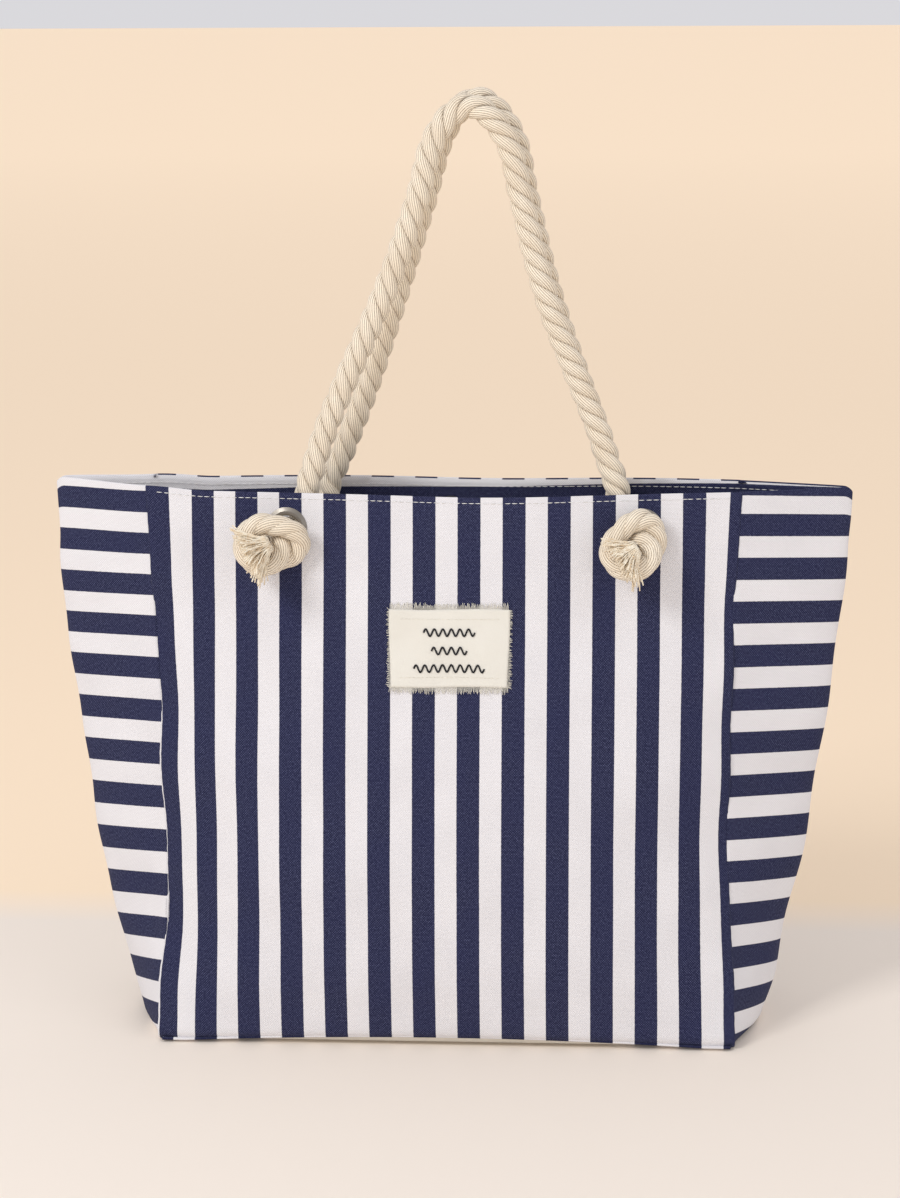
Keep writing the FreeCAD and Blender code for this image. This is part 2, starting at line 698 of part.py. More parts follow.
def rope_end_shape(name, x, side, frame):
    """The rope from the rim down behind the wall and out through the eyelet."""
    outward = frame.Rotation.multVec(Vector(0, 0, 1))
    corner = rope_corner(frame)
    top = rim_point(name, x, side)
    up = top - corner
    up.normalize()
    turn = up.getAngle(outward)
    trim = size("rope_bend") / math.tan(turn / 2)
    leg_end = corner + up * trim
    throat = corner + outward * trim
    toward = up + outward
    toward.normalize()
    centre = corner + toward * (size("rope_bend") / math.sin(turn / 2))
    bend_middle = centre - toward * size("rope_bend")
    start = top + up * size("handle_foot_spare")
    finish = frame.Base + outward * size("rope_nose")
    path = Part.Wire([
        Part.makeLine(start, leg_end),
        Part.Arc(leg_end, bend_middle, throat).toShape(),
        Part.makeLine(throat, finish),
    ])
    rope = swept(path, start, up * -1)
    return rope.common(slab(0, size("bag_rise")))


def knot_parts(name, x, side, frame):
    """Two overlapping lobes and the rope's frayed end."""
    radius = size("knot_radius")
    depth = abs(frame.Base.y) + size("knot_stand_off") + radius
    centre = Vector(x - size("knot_lean"), side * depth, frame.Base.z - size("knot_sag"))
    left = x < 0
    way = side * -1
    lobe = doc.addObject("Part::Sphere", name + "_knot")
    bind(lobe, Radius="Dimensions.knot_radius")
    lobe.Placement = Placement(centre, Rotation())
    second = doc.addObject("Part::Sphere", name + "_knot_lobe")
    bind(second, Radius="Dimensions.knot_lobe_radius")
    out = side * size("knot_lobe_out")
    shift = Vector(size("knot_lobe_shift") * way, out, -size("knot_lobe_drop"))
    second.Placement = Placement(centre + shift, Rotation())
    across, out, up = LEFT_TUFT_WAY if left else RIGHT_TUFT_WAY
    tuft_way = Vector(across * way, out * side, up)
    tuft = doc.addObject("Part::Cone", name + "_tuft")
    bind(tuft, Radius1="Dimensions.tuft_root", Radius2="Dimensions.tuft_tip",
         Height="Dimensions.tuft_reach" if left else "Dimensions.tuft_short_reach")
    tuft.Placement = Placement(centre, Rotation(Vector(0, 0, 1), tuft_way))
    return [lobe, second, tuft]


def make_ropes():
    for face, side in (("front", -1), ("back", 1)):
        keep(feature(face + "_handle_sweep", handle_shape(face, side)), face + "_handle_rope")
    for name, side, x, z in eyelet_places():
        frame = wall_frame(x, z, side)
        throat = feature(name + "_throat", rope_end_shape(name, x, side, frame))
        parts = [throat] + knot_parts(name, x, side, frame)
        keep(fused(name + "_rope_end_body", parts), name + "_rope_end")


def snap_prongs(name, frame):
    prongs = []
    for index, way in enumerate((-1, 1)):
        prong = doc.addObject("Part::Box", "%s_prong_%d" % (name, index))
        bind(prong, Length="Dimensions.snap_prong_sheet", Width="Dimensions.snap_prong_wide",
             Height="Dimensions.canvas + Dimensions.layer_gap + Dimensions.snap_prong_play")
        corner = Vector(
            way * size("snap_prong_pitch") / 2 - size("snap_prong_sheet") / 2,
            -size("snap_prong_wide") / 2,
            -(size("canvas") + size("layer_gap") - size("snap_prong_play")),
        )
        prong.Placement = frame.multiply(Placement(corner, Rotation()))
        prongs.append(prong)
    return prongs


def disc(name, radius, height, frame, lift):
    cylinder = doc.addObject("Part::Cylinder", name)
    bind(cylinder, Radius=radius, Height=height)
    cylinder.Placement = frame.multiply(Placement(Vector(0, 0, lift), Rotation()))
    return cylinder


def fused(name, parts):
    group = doc.addObject("Part::MultiFuse", name)
    group.Shapes = parts
    return group


def make_snap():
    """Magnetic snap: a stud on the front facing and a socket on the back one."""
    seat = size("snap_seat")
    front = snap_frame(-1)
    stud = [
        disc("stud_disc", "Dimensions.snap_diameter / 2", "Dimensions.snap_stud_sheet",
             front, seat),
        disc("stud_pin", "Dimensions.snap_pin / 2",
             "Dimensions.snap_stud_sheet + Dimensions.snap_pin_rise", front, seat),
    ]
    keep(fused("stud_body", stud + snap_prongs("stud", front)), "snap_stud")
    back = snap_frame(1)
    shell = [
        disc("socket_disc", "Dimensions.snap_diameter / 2",
             "Dimensions.snap_socket_sheet", back, seat)
    ]
    solid = fused("socket_solid", shell + snap_prongs("socket", back))
    recess = disc("socket_recess", "Dimensions.snap_pin / 2 + Dimensions.snap_pin_play",
                  "Dimensions.snap_socket_sheet", back, seat + size("snap_recess_floor"))
    socket = doc.addObject("Part::Cut", "socket_body")
    socket.Base = solid
    socket.Tool = recess
    keep(socket, "snap_socket")
    for name, frame in (("stud", front), ("socket", back)):
        drop = -(size("canvas") + size("layer_gap") - size("loose"))
        plate = disc(name + "_plate_disc", "Dimensions.snap_plate_wide / 2",
                     "Dimensions.snap_plate_sheet", frame, drop)
        slots = fused(name + "_plate_slots", prong_slots(name + "_plate", frame))
        cut = doc.addObject("Part::Cut", name + "_plate_body")
        cut.Base = plate
        cut.Tool = slots
        keep(cut, "snap_%s_plate" % name)


def pocket_frame():
    """In front of the back lining at the zip line, its Z axis towards the front."""
    inset = size("canvas") + size("lining_gap") + size("lining_sheet")
    inset += size("pocket_stand_off")
    top_z = size("pocket_zip_rise")
    foot_z = top_z - size("pocket_tall")
    edge = size("pocket_wide") / 2
    top = Vector(0, wall_depth(edge, top_z) - inset, top_z)
    foot = Vector(0, wall_depth(edge, foot_z) - inset, foot_z)
    up = top - foot
    up.normalize()
    left = Vector(-1, 0, 0)
    inwards = left.cross(up) * -1
    return Placement(top, Rotation(left * -1, up, inwards, "ZXY"))


def make_pocket():
    """A flat pocket sewn to the back lining, with a zip along its top."""
    frame = pocket_frame()

    def lifted(up, out):
        return frame.multiply(Placement(Vector(0, up, out), Rotation()))

    tape_gap = size("coil_gap") / 2 + size("coil_radius")
    cloth = padded_body("pocket_body", rectangle("pocket_wide", "pocket_tall"), "pocket_sheet")
    drop = -(size("pocket_tall") + tape_gap + size("tape_drop"))
    keep(cloth, "pocket_panel", lifted(drop, -size("pocket_sheet") - size("loose")))
    for name, way in (("upper", 1), ("lower", -1)):
        tape = padded_body(
            "zip_%s_tape_body" % name, rectangle("pocket_wide", "tape_wide"), "tape_sheet"
        )
        near = size("coil_gap") / 2 + size("loose")
        up = near if way > 0 else -near - size("tape_wide")
        keep(tape, "zip_%s_tape" % name, lifted(up, 0))
        coil = doc.addObject("Part::Cylinder", "zip_%s_coil_rod" % name)
        bind(coil, Radius="Dimensions.coil_radius", Height="Dimensions.zip_run")
        out = size("tape_sheet") + size("coil_radius") + size("coil_lift")
        centre = Vector(-size("zip_run") / 2, way * tape_gap, out)
        along = Rotation(Vector(0, 1, 0), 90)
        keep(coil, "zip_%s_coil" % name, frame.multiply(Placement(centre, along)))
    make_zip_ends(frame)
    make_slider(frame)


def make_zip_ends(frame):
    """The stops that hold the two coils together at both ends."""
    stops = []
    for index, way in enumerate((-1, 1)):
        stop = doc.addObject("Part::Box", "zip_stop_%d" % index)
        bind(stop, Length="Dimensions.stop_long", Height="2 * Dimensions.coil_radius",
             Width="2 * Dimensions.coil_gap + 4 * Dimensions.coil_radius")
        start = way * (size("zip_run") / 2 + size("stop_lead")) - size("stop_long") / 2
        half = size("coil_gap") + 2 * size("coil_radius")
        corner = Vector(start, -half, size("tape_sheet") + size("stop_lift"))
        stop.Placement = frame.multiply(Placement(corner, Rotation()))
        stops.append(stop)
    group = doc.addObject("Part::Compound", "zip_stop_pair")
    group.Links = stops
    keep(group, "zip_stops")


def slider_start():
    """The slider's middle along the zip when the pocket is shut."""
    return -(size("zip_run") / 2 - size("slider_long") / 2 - size("slider_lead"))


def slider_box(name, frame, tall, low, high):
    """A block of the slider, between two heights above the tape's back."""
    block = doc.addObject("Part::Box", name)
    bind(block, Length="Dimensions.slider_long", Width=in_sheet(tall))
    block.Height = high - low
    half = evaluated(tall) / 2
    corner = Vector(slider_start() - size("slider_long") / 2, -half, low)
    block.Placement = frame.multiply(Placement(corner, Rotation()))
    return block


def pin_height():
    """Distance of the puller's bar in front of the tape's back."""
    top = size("tape_sheet") + 2 * size("coil_radius") + size("slider_play")
    top += size("slider_sheet") + size("puller_stand_off")
    return top + size("puller_pin") + size("puller_play")


def make_slider(frame):
    """A front plate over the coils, joined by a neck between them to a back plate."""
    play = size("slider_play")
    sheet_high = size("slider_sheet")
    bite = sheet_high / 2
    over = size("tape_sheet") + 2 * size("coil_radius") + play
    blocks = [
        slider_box("slider_front", frame, "slider_tall", over, over + sheet_high),
        slider_box("slider_neck", frame, "coil_gap - neck_play", -play - bite, over + bite),
        slider_box("slider_back", frame, "slider_tall", -play - sheet_high, -play),
    ]
    pin = doc.addObject("Part::Cylinder", "slider_bar")
    lug_reach = size("lug_gap") + size("lug_sheet")
    bind(pin, Radius="Dimensions.puller_pin",
         Height="Dimensions.puller_wide + 2 * ( Dimensions.lug_gap + Dimensions.lug_sheet )")
    along = Rotation(Vector(0, 1, 0), 90)
    start = slider_start() - size("puller_wide") / 2 - lug_reach
    pin.Placement = frame.multiply(Placement(Vector(start, 0, pin_height()), along))
    blocks.append(pin)
    for index, way in enumerate((-1, 1)):
        lug = doc.addObject("Part::Box", "slider_lug_%d" % index)
        bind(lug, Length="Dimensions.lug_sheet", Width="Dimensions.lug_deep")
        lug.Height = pin_height() + size("lug_sheet") - over
        half = size("lug_sheet") / 2
        left = slider_start() + way * (size("puller_wide") / 2 + lug_reach - half) - half
        corner = Vector(left, -size("lug_deep") / 2, over)
        lug.Placement = frame.multiply(Placement(corner, Rotation()))
        blocks.append(lug)
    keep(fused("slider_body", blocks), "zip_slider")
    make_puller(frame)


def make_puller(frame):
    """A tab that hangs from the slider's bar."""
    tab = doc.addObject("Part::Box", "puller_tab")
    bind(tab, Length="Dimensions.puller_wide", Width="Dimensions.puller_long",
         Height="Dimensions.puller_sheet")
    corner = Vector(
        slider_start() - size("puller_wide") / 2,
        -size("puller_long") - size("puller_pin"),
        pin_height() - size("puller_sheet") / 2,
    )
    tab.Placement = frame.multiply(Placement(corner, Rotation()))
    along = Rotation(Vector(0, 1, 0), 90)
    start = Vector(slider_start() - size("puller_wide") / 2, 0, pin_height())
    eye = doc.addObject("Part::Cylinder", "puller_eye")
    bind(eye, Height="Dimensions.puller_wide",
         Radius="Dimensions.puller_pin + Dimensions.puller_play + Dimensions.puller_eye_wall")
    eye.Placement = frame.multiply(Placement(start, along))
    bore = doc.addObject("Part::Cylinder", "puller_bore")
    bind(bore, Radius="Dimensions.puller_pin + Dimensions.puller_play",
         Height="Dimensions.puller_wide")
    bore.Placement = eye.Placement
    cut = doc.addObject("Part::Cut", "puller_body")
    cut.Base = fused("puller_solid", [tab, eye])
    cut.Tool = bore
    keep(cut, "zip_puller")


def check_document():
    """Stops unless every object is sound and every sub-part is a valid solid."""
    for obj in doc.Objects:
        if "Invalid" in obj.State or "Error" in obj.State:
            raise RuntimeError("%s did not compute: %s" % (obj.Label, obj.State))
    for obj in nodes:
        if obj.Shape.isNull() or not obj.Shape.isValid() or not obj.Shape.Solids:
            raise RuntimeError("%s has no valid solid" % obj.Label)


fill_sheet()
fold_reach, seam_reach = shape_laws()
middle_depth = half_depth_curve("belly", "rim_depth")
seam_depth = half_depth_curve("seam", "seam_rim_depth")
make_cloth()
make_base()
make_lining()
make_label()
make_eyelets()
make_ropes()
make_snap()
make_pocket()
doc.recompute()
check_document()
os.makedirs("parts", exist_ok=True)
for node in nodes:
    node.Shape.exportStep("parts/%s.step" % node.Label)
print(len(nodes), "sub-parts written")
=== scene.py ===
"""Looks of the striped canvas beach bag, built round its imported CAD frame.

Metres, +Z up, the front faces -Y. Cloth coordinates (UV) are in metres along the cloth,
so a stripe or a thread keeps its size wherever the cloth goes.
"""

import math

import bpy
import numpy as np
from mathutils import Matrix, Vector


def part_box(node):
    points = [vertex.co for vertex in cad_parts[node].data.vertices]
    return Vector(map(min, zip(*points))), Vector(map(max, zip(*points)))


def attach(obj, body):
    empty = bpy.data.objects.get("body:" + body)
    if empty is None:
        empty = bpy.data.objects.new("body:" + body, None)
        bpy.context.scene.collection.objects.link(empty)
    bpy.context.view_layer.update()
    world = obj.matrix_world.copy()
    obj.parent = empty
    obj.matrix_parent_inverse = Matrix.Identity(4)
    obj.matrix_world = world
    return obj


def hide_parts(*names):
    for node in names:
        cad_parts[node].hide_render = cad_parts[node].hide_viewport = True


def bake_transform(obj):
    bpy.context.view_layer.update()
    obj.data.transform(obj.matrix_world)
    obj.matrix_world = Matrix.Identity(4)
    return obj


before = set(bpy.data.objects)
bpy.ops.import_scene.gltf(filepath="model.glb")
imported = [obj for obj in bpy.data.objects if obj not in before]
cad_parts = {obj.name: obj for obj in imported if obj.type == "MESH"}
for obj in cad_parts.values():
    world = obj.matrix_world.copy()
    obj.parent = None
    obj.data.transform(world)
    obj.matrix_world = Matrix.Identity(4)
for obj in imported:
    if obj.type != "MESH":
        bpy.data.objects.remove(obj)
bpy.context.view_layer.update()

MM = 0.001
UP = np.array([0.0, 0.0, 1.0])

# ---- sizes ----

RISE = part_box("front_panel")[1].z
CANVAS = 1.2 * MM
FACING_CLOTH = 0.9 * MM
LINING_CLOTH = 0.35 * MM
POCKET_CLOTH = 0.6 * MM
LABEL_CLOTH = 0.5 * MM
GUSSET_INSET = 0.7 * MM
FACING_INSET = 2.3 * MM
FACING_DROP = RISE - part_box("back_facing")[0].z
LINING_INSET = 3.0 * MM
LINING_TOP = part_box("lining")[1].z
STRIPE_PITCH = 28.03 * MM
STRIPE_WHITE = 13.7 * MM
STRIPE_RAGGED = 0.5 * MM
STRIPE_SOFT = 0.15 * MM
BASE_ROLL = 6.5 * MM
BASE_ROLL_ROWS = 6
BASE_LIFT = 4.5 * MM
RIM_ROLL = 0.8 * MM
RIM_TOP_ROW = 2
RIM_TAIL = 1.2 * MM
RIM_SAG = 2.0 * MM
RIM_CORNER_DROP = 3 * MM
SEAM_ROLL = 1.5 * MM
SEAM_TUCK = 0.5 * MM
SEAM_COLUMNS = 4
LEFT_FLARE = 4.2 * MM
RIGHT_FLARE = 4.8 * MM
SEAM_STRETCH = 160 * MM
GUSSET_STRETCH = 1.0165
LEFT_SEAM_AT = 188.6 * MM
RIGHT_SEAM_AT = 183 * MM
PANEL_RIPPLE = 0.9 * MM
GUSSET_RIPPLE = 1.2 * MM
FACING_RIPPLE = 0.4 * MM
LINING_RIPPLE = 0.9 * MM
FRONT_SEED = 11
BACK_SEED = 12
EYELET_HOLE = 9.5 * MM
STITCH_PITCH = 4.4 * MM
STITCH_LENGTH = 3.3 * MM
FRINGE_RADIUS = 0.16 * MM
ROPE_RADIUS = 7.9 * MM
ROPE_LAY = 36 * MM
STRAND_SIDES = 26
STRAND_OFFSET = 4.12 * MM
STRAND_RADIAL = 3.78 * MM
STRAND_TANGENTIAL = 4.05 * MM
STRAND_YARNS = 17
YARN_TURN = 34 * MM
KNOT_PASS = 13.5 * MM
KNOT_FLATNESS = 0.74
KNOT_SQUEEZE = 0.86
KNOT_CLEARANCE = 1.2 * MM
KNOT_SAG = 9.5 * MM
KNOT_SIDEWAYS = -6 * MM
CUT_POINTS = 5
TUFT_YARNS = 340
TUFT_DEPTH = 85 * MM

# Each knot's turn about its own axis, in radians, and how that axis leans sideways and up.
KNOTS = {
    "front_left": (4.4, -0.30, -0.12),
    "front_right": (5.4, -0.20, -0.20),
    "back_left": (4.2, -0.30, -0.10),
    "back_right": (5.0, -0.20, -0.20),
}


# ---- mesh tools ----


class Pieces:
    """Collects grids, tubes and caps into one mesh object with cloth coordinates."""

    def __init__(self):
        self.points = []
        self.faces = []
        self.coords = []
        self.count = 0

    def grid(self, points, uv, wrap=False, hidden=None):
        """points[row, column]; uv has one more column where the grid wraps."""
        rows, cols = points.shape[:2]
        row = np.arange(rows - 1)[:, None]
        col = np.arange(cols if wrap else cols - 1)[None]
        after = (col + 1) % cols
        corners = [row * cols + col, row * cols + after]
        corners += [(row + 1) * cols + after, (row + 1) * cols + col]
        faces = np.stack(np.broadcast_arrays(*corners), -1).reshape(-1, 4)
        left, right = col[0], col[0] + 1
        coords = np.stack([uv[:-1, left], uv[:-1, right], uv[1:, right], uv[1:, left]], 2)
        coords = coords.reshape(-1, 4, 2)
        if hidden is not None:
            shown = ~hidden(points.reshape(-1, 3)[faces].mean(1))
            faces, coords = faces[shown], coords[shown]
        self.faces += (faces + self.count).tolist()
        self.coords.append(coords.reshape(-1, 2))
        self.points.append(points.reshape(-1, 3))
        self.count += rows * cols

    def tube(self, path, radius, sides=6):
        """A closed round tube; radius is one number or one for each path point."""
        right, side = frames(path)
        turn = np.linspace(0, 2 * math.pi, sides, endpoint=False)[:, None]
        ring = right[:, None] * np.cos(turn) + side[:, None] * np.sin(turn)
        self.rings(path[:, None] + ring * np.broadcast_to(radius, len(path))[:, None, None], travelled(path))

    def rings(self, points, length):
        """A tube from its rings, with both ends capped."""
        rows, sides = points.shape[:2]
        uv = np.empty((rows, sides + 1, 2))
        uv[..., 0] = np.linspace(0, 1, sides + 1)
        uv[..., 1] = length[:, None]
        first = self.count
        last = first + (rows - 1) * sides
        self.grid(points, uv, wrap=True)
        self.faces.append(list(range(first, first + sides))[::-1])
        self.faces.append(list(range(last, last + sides)))
        self.coords += [np.column_stack([np.linspace(0, 1, sides), np.full(sides, length[0])])] * 2

    def make(self, name, material, replaces=(), body="bag"):
        mesh = bpy.data.meshes.new(name)
        mesh.from_pydata(np.concatenate(self.points).tolist(), [], self.faces)
        layer = mesh.uv_layers.new(name="Cloth")
        layer.data.foreach_set("uv", np.concatenate(self.coords).astype(np.float32).ravel())
        mesh.polygons.foreach_set("use_smooth", [True] * len(mesh.polygons))
        mesh.materials.append(material)
        mesh.update()
        piece = bpy.data.objects.new(name, mesh)
        bpy.context.scene.collection.objects.link(piece)
        if body:
            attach(piece, body)
        if replaces:
            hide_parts(*replaces)
        return piece


def travelled(points, axis=0):
    """Distance along a path, or along one axis of a grid, at each of its points."""
    steps = np.linalg.norm(np.diff(points, axis=axis), axis=-1)
    return np.concatenate([np.zeros_like(steps.take([0], axis)), np.cumsum(steps, axis)], axis)


def unit(vectors):
    return vectors / np.linalg.norm(vectors, axis=-1, keepdims=True)


def frames(path):
    """Two cross directions carried along a path without twist."""
    along = unit(np.gradient(path, axis=0))
    seed = UP if abs(along[0, 2]) < 0.8 else np.array([0.0, 1.0, 0.0])
    right = np.empty_like(path)
    right[0] = unit(np.cross(seed, along[0]))
    for index in range(1, len(path)):
        carried = right[index - 1] - along[index] * (right[index - 1] @ along[index])
        right[index] = carried / np.linalg.norm(carried)
    return right, np.cross(along, right)


def smooth_path(points, spacing):
    """A natural cubic spline through points, resampled at even spacing."""
    knots = travelled(points)
    count = len(points)
    steps = np.diff(knots)
    system = np.eye(count)
    pull = np.zeros((count, 3))
    slope = np.diff(points, axis=0) / steps[:, None]
    for index in range(1, count - 1):
        system[index, index - 1:index + 2] = (
            steps[index - 1], 2 * (steps[index - 1] + steps[index]), steps[index]
        )
        pull[index] = 6 * (slope[index] - slope[index - 1])
    bend = np.linalg.solve(system, pull)
    fine = np.linspace(0, knots[-1], int(knots[-1] / spacing * 4) + 2)
    piece = np.clip(np.searchsorted(knots, fine, side="right") - 1, 0, count - 2)
    step, local = steps[piece][:, None], (fine - knots[piece])[:, None]
    here, there = bend[piece], bend[piece + 1]
    curve = (
        points[piece]
        + local * (slope[piece] - step * (2 * here + there) / 6)
        + local ** 2 * here / 2
        + local ** 3 * (there - here) / (6 * step)
    )
    return even_path(curve, spacing)


def sampled(marks, length, values):
    """Rows of values at the marks, where length holds each row's own place."""
    return np.column_stack([np.interp(marks, length, column) for column in values.T])


def even_path(path, spacing):
    length = travelled(path)
    marks = np.linspace(0, length[-1], max(2, int(round(length[-1] / spacing)) + 1))
    return sampled(marks, length, path)


def box_middle(points):
    return (points.min(0) + points.max(0)) / 2


def eased(value, low, high):
    """0 below low, 1 above high, smooth between."""
    share = np.clip((value - low) / (high - low), 0, 1)
    return share * share * (3 - 2 * share)


def ripples(across, up, seed, shortest=0.05, longest=0.17, count=8):
    """A gentle uneven field of about unit height."""
    draw = np.random.default_rng(seed)
    total = 0.0
    for _ in range(count):
        length = draw.uniform(shortest, longest)
        angle = draw.uniform(0, math.pi)
        phase = draw.uniform(0, 2 * math.pi)
        run = (across * math.cos(angle) + up * math.sin(angle)) / length
        total = total + np.sin(2 * math.pi * run + phase)
    return total / math.sqrt(count)


# ---- the frame's shape as laws of height ----


def cad_corners(node):
    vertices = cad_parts[node].data.vertices
    corners = np.empty(len(vertices) * 3)
    vertices.foreach_get("co", corners)
    return corners.reshape(-1, 3)


def section(node, level):
    """Where a CAD node's edges cross a level."""
    corners = cad_corners(node)
    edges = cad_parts[node].data.edges
    ends = np.empty(len(edges) * 2, int)
    edges.foreach_get("vertices", ends)
    below, above = corners[ends[0::2]], corners[ends[1::2]]
    crossing = (below[:, 2] < level) != (above[:, 2] < level)
    below, above = below[crossing], above[crossing]
    share = (level - below[:, 2]) / (above[:, 2] - below[:, 2])
    return below + (above - below) * share[:, None]


def shape_laws():
    """Seam reach, seam depth, middle depth and fold reach, each a polynomial of height."""
    levels = np.linspace(4 * MM, RISE - 2 * MM, 30)
    rows = []
    for level in levels:
        panel = section("back_panel", level)
        corner = panel[panel[:, 0] > panel[:, 0].max() - 0.05 * MM]
        gusset = section("right_gusset", level)
        rows.append((corner[:, 0].max(), corner[:, 1].max(), panel[:, 1].max(), gusset[:, 0].max()))
    return [np.poly1d(np.polyfit(levels, values, 6)) for values in zip(*rows)]


SEAM_REACH, SEAM_DEPTH, MIDDLE_DEPTH, FOLD_REACH = shape_laws()


def plan_sizes(z, inset):
    """Seam x, seam y, middle y and fold x of the outline at height z, inset square to the cloth."""
    seam_x, seam_y = SEAM_REACH(z), SEAM_DEPTH(z)
    run = FOLD_REACH(z) - seam_x
    sideways = inset * np.hypot(run, seam_y) / seam_y
    corner_x = seam_x + run * inset / seam_y - sideways
    return corner_x, seam_y - inset, MIDDLE_DEPTH(z) - inset, seam_x + run - sideways


def left_flare(z):
    """How far the left seams stand further out near the rim than the frame's."""
    return LEFT_FLARE * eased(z, 0.12, 0.30)


def bow_power(z):
    """A panel bows like a parabola at the rim; low down it stays flat and turns in near its seams."""
    return 2 + 1.5 * (1 - eased(z, 0.19, 0.30))


def panel_plan(side, z, columns, inset=0.0):
    """Plan points of the front (-1) or back (+1) panel from seam to seam."""
    level = z[:, None]
    seam_x, seam_y, middle, _ = plan_sizes(level, inset)
    across = np.linspace(-1, 1, columns)[None]
    depth = middle - (middle - seam_y) * np.abs(across) ** bow_power(level)
    reach = seam_x + left_flare(level) * (side * across > 0)
    return np.stack([-side * across * reach, side * depth], -1)


def gusset_plan(side, z, columns, inset=0.0):
    """Plan points of the left (-1) or right (+1) gusset from seam to seam, softly creased."""
    level = z[:, None]
    seam_x, seam_y, _, fold_x = plan_sizes(level, inset)
    if side < 0:
        seam_x = seam_x + left_flare(level)
    else:
        fold_x = fold_x + RIGHT_FLARE * eased(level, 0.22, 0.34)
    across = np.linspace(-1, 1, columns)[None]
    crease = 0.16 + 0.14 * (1 - level / RISE)
    away = (np.sqrt(across ** 2 + crease ** 2) - crease) / (np.sqrt(1 + crease ** 2) - crease)
    reach = fold_x - (fold_x - seam_x) * away
    return np.stack([side * reach, side * across * seam_y], -1)


def plan_normals(plan):
    """Outward plan directions; a plan runs anticlockwise seen from above."""
    along = unit(np.gradient(plan, axis=1))
    return np.stack([along[..., 1], -along[..., 0]], -1)


def with_rolled_edges(plan):
    """Adds columns that turn a panel's two side edges inward, as a seam allowance does."""
    normals = plan_normals(plan)
    turns = np.radians([30, 60, 90])
    sides = []
    for column, way in ((0, -1), (-1, 1)):
        edge, out = plan[:, column], normals[:, column]
        along = way * np.stack([-out[:, 1], out[:, 0]], -1)
        middle = edge - out * SEAM_ROLL
        facing = [out * math.cos(turn) + along * math.sin(turn) for turn in turns]
        points = [middle + SEAM_ROLL * direction for direction in facing]
        points.append(points[-1] - out * SEAM_TUCK)
        facing.append(along)
        sides.append((points, facing))
    (left, left_out), (right, right_out) = sides
    plan = np.concatenate([np.stack(left[::-1], 1), plan, np.stack(right, 1)], 1)
    normals = np.concatenate([np.stack(left_out[::-1], 1), normals, np.stack(right_out, 1)], 1)
    return plan, normals


def base_arch(x):
    """How far the base's front and back edges lift off the floor between the corners."""
    return BASE_LIFT * (1 - np.clip(np.abs(x) / 0.165, 0, 1) ** 2)


def rim_dip(x, z):
    """The rim sags between the eyelets, rises towards the left fold and rounds off at both folds."""
    sag = -RIM_SAG * np.exp(-(((x - 0.03) / 0.07) ** 2))
    rise = 2.2 * MM * eased(-x, 0.15, 0.187) + 2.0 * MM * eased(-x, 0.19, 0.25)
    past_corner = np.where(x < 0, -x - 244 * MM, x - 249 * MM)
    corner = -RIM_CORNER_DROP * np.clip(past_corner / (5.5 * MM), 0, 1) ** 2
    return (sag + rise) * eased(z, RISE - 0.09, RISE) + corner * eased(z, RISE - 0.03, RISE)


def square_ends(directions):
    """Makes the outermost columns face the way their neighbours do, for a clean corner."""
    directions = directions.copy()
    directions[:SEAM_COLUMNS] = directions[SEAM_COLUMNS]
    directions[-SEAM_COLUMNS:] = directions[-SEAM_COLUMNS - 1]
    return directions


def standing(plan, normals, z):
    """Space points and outward directions of a plan at its heights."""
    shape = plan.shape[:2] + (1,)
    points = np.concatenate([plan, np.broadcast_to(z[:, None, None], shape)], -1)
    return points, np.concatenate([normals, np.zeros(shape)], -1)


def walled(plan, normals, z, relief, arched):
    """Points of a wall: rolled under the base, up the wall, and rolled over the rim."""
    wall, outward = standing(plan, normals, z)
    wall = wall + outward * relief[..., None]
    outward[0], outward[-1] = square_ends(outward[0]), square_ends(outward[-1])
    low, low_out = wall[0], outward[0]
    centre = low - low_out * BASE_ROLL
    rows = [centre - UP * BASE_ROLL - low_out * under * MM for under in (9, 3)]
    for turn in np.radians([90, 68, 46, 23]):
        rows.append(centre + BASE_ROLL * (low_out * math.cos(turn) - UP * math.sin(turn)))
    high, high_out = wall[-1], outward[-1]
    centre = high - high_out * RIM_ROLL
    over = [
        centre + RIM_ROLL * (high_out * math.cos(turn) + UP * math.sin(turn))
        for turn in np.radians([30, 60, 90, 120, 150, 180])
    ]
    over.append(over[-1] - UP * RIM_TAIL)
    points = np.concatenate([np.stack(rows), wall, np.stack(over)])
    x, level = points[..., 0], points[..., 2]
    lift = arched * base_arch(x) * (1 - eased(level, 0, 0.05))
    points[..., 2] += lift + rim_dip(x, level)
    return points


def rim_row(z):
    """The row of walled() that lies on top of the rim."""
    return BASE_ROLL_ROWS + len(z) + RIM_TOP_ROW


def cloth_coords(points, top_row, middle_column=None):
    """Distances along the cloth from the middle column and down from the top row."""
    if middle_column is None:
        middle_column = points.shape[1] // 2
    across, up = travelled(points, 1), travelled(points)
    across -= across[:, middle_column][:, None]
    return np.stack([across, up[top_row][None] - up], -1)


def near_eyelets(centres):
    hidden = np.zeros(len(centres), bool)
    for middle, _ in EYELETS.values():
        hidden |= np.linalg.norm(centres - middle, axis=1) < EYELET_HOLE
    return hidden


def make_cloth(name, material, node, thickness, points, coords, hidden=None):
    """A sheet, thickened inwards, that stands for a CAD node."""
    sheet = Pieces()
    sheet.grid(points, coords, hidden=hidden)
    thicken(sheet.make(name, material, [node]), thickness)


def thicken(piece, thickness):
    solid = piece.modifiers.new("Thickness", "SOLIDIFY")
    solid.thickness = thickness
    solid.offset = -1.0


# ---- eyelets, the anchors of the ropes ----


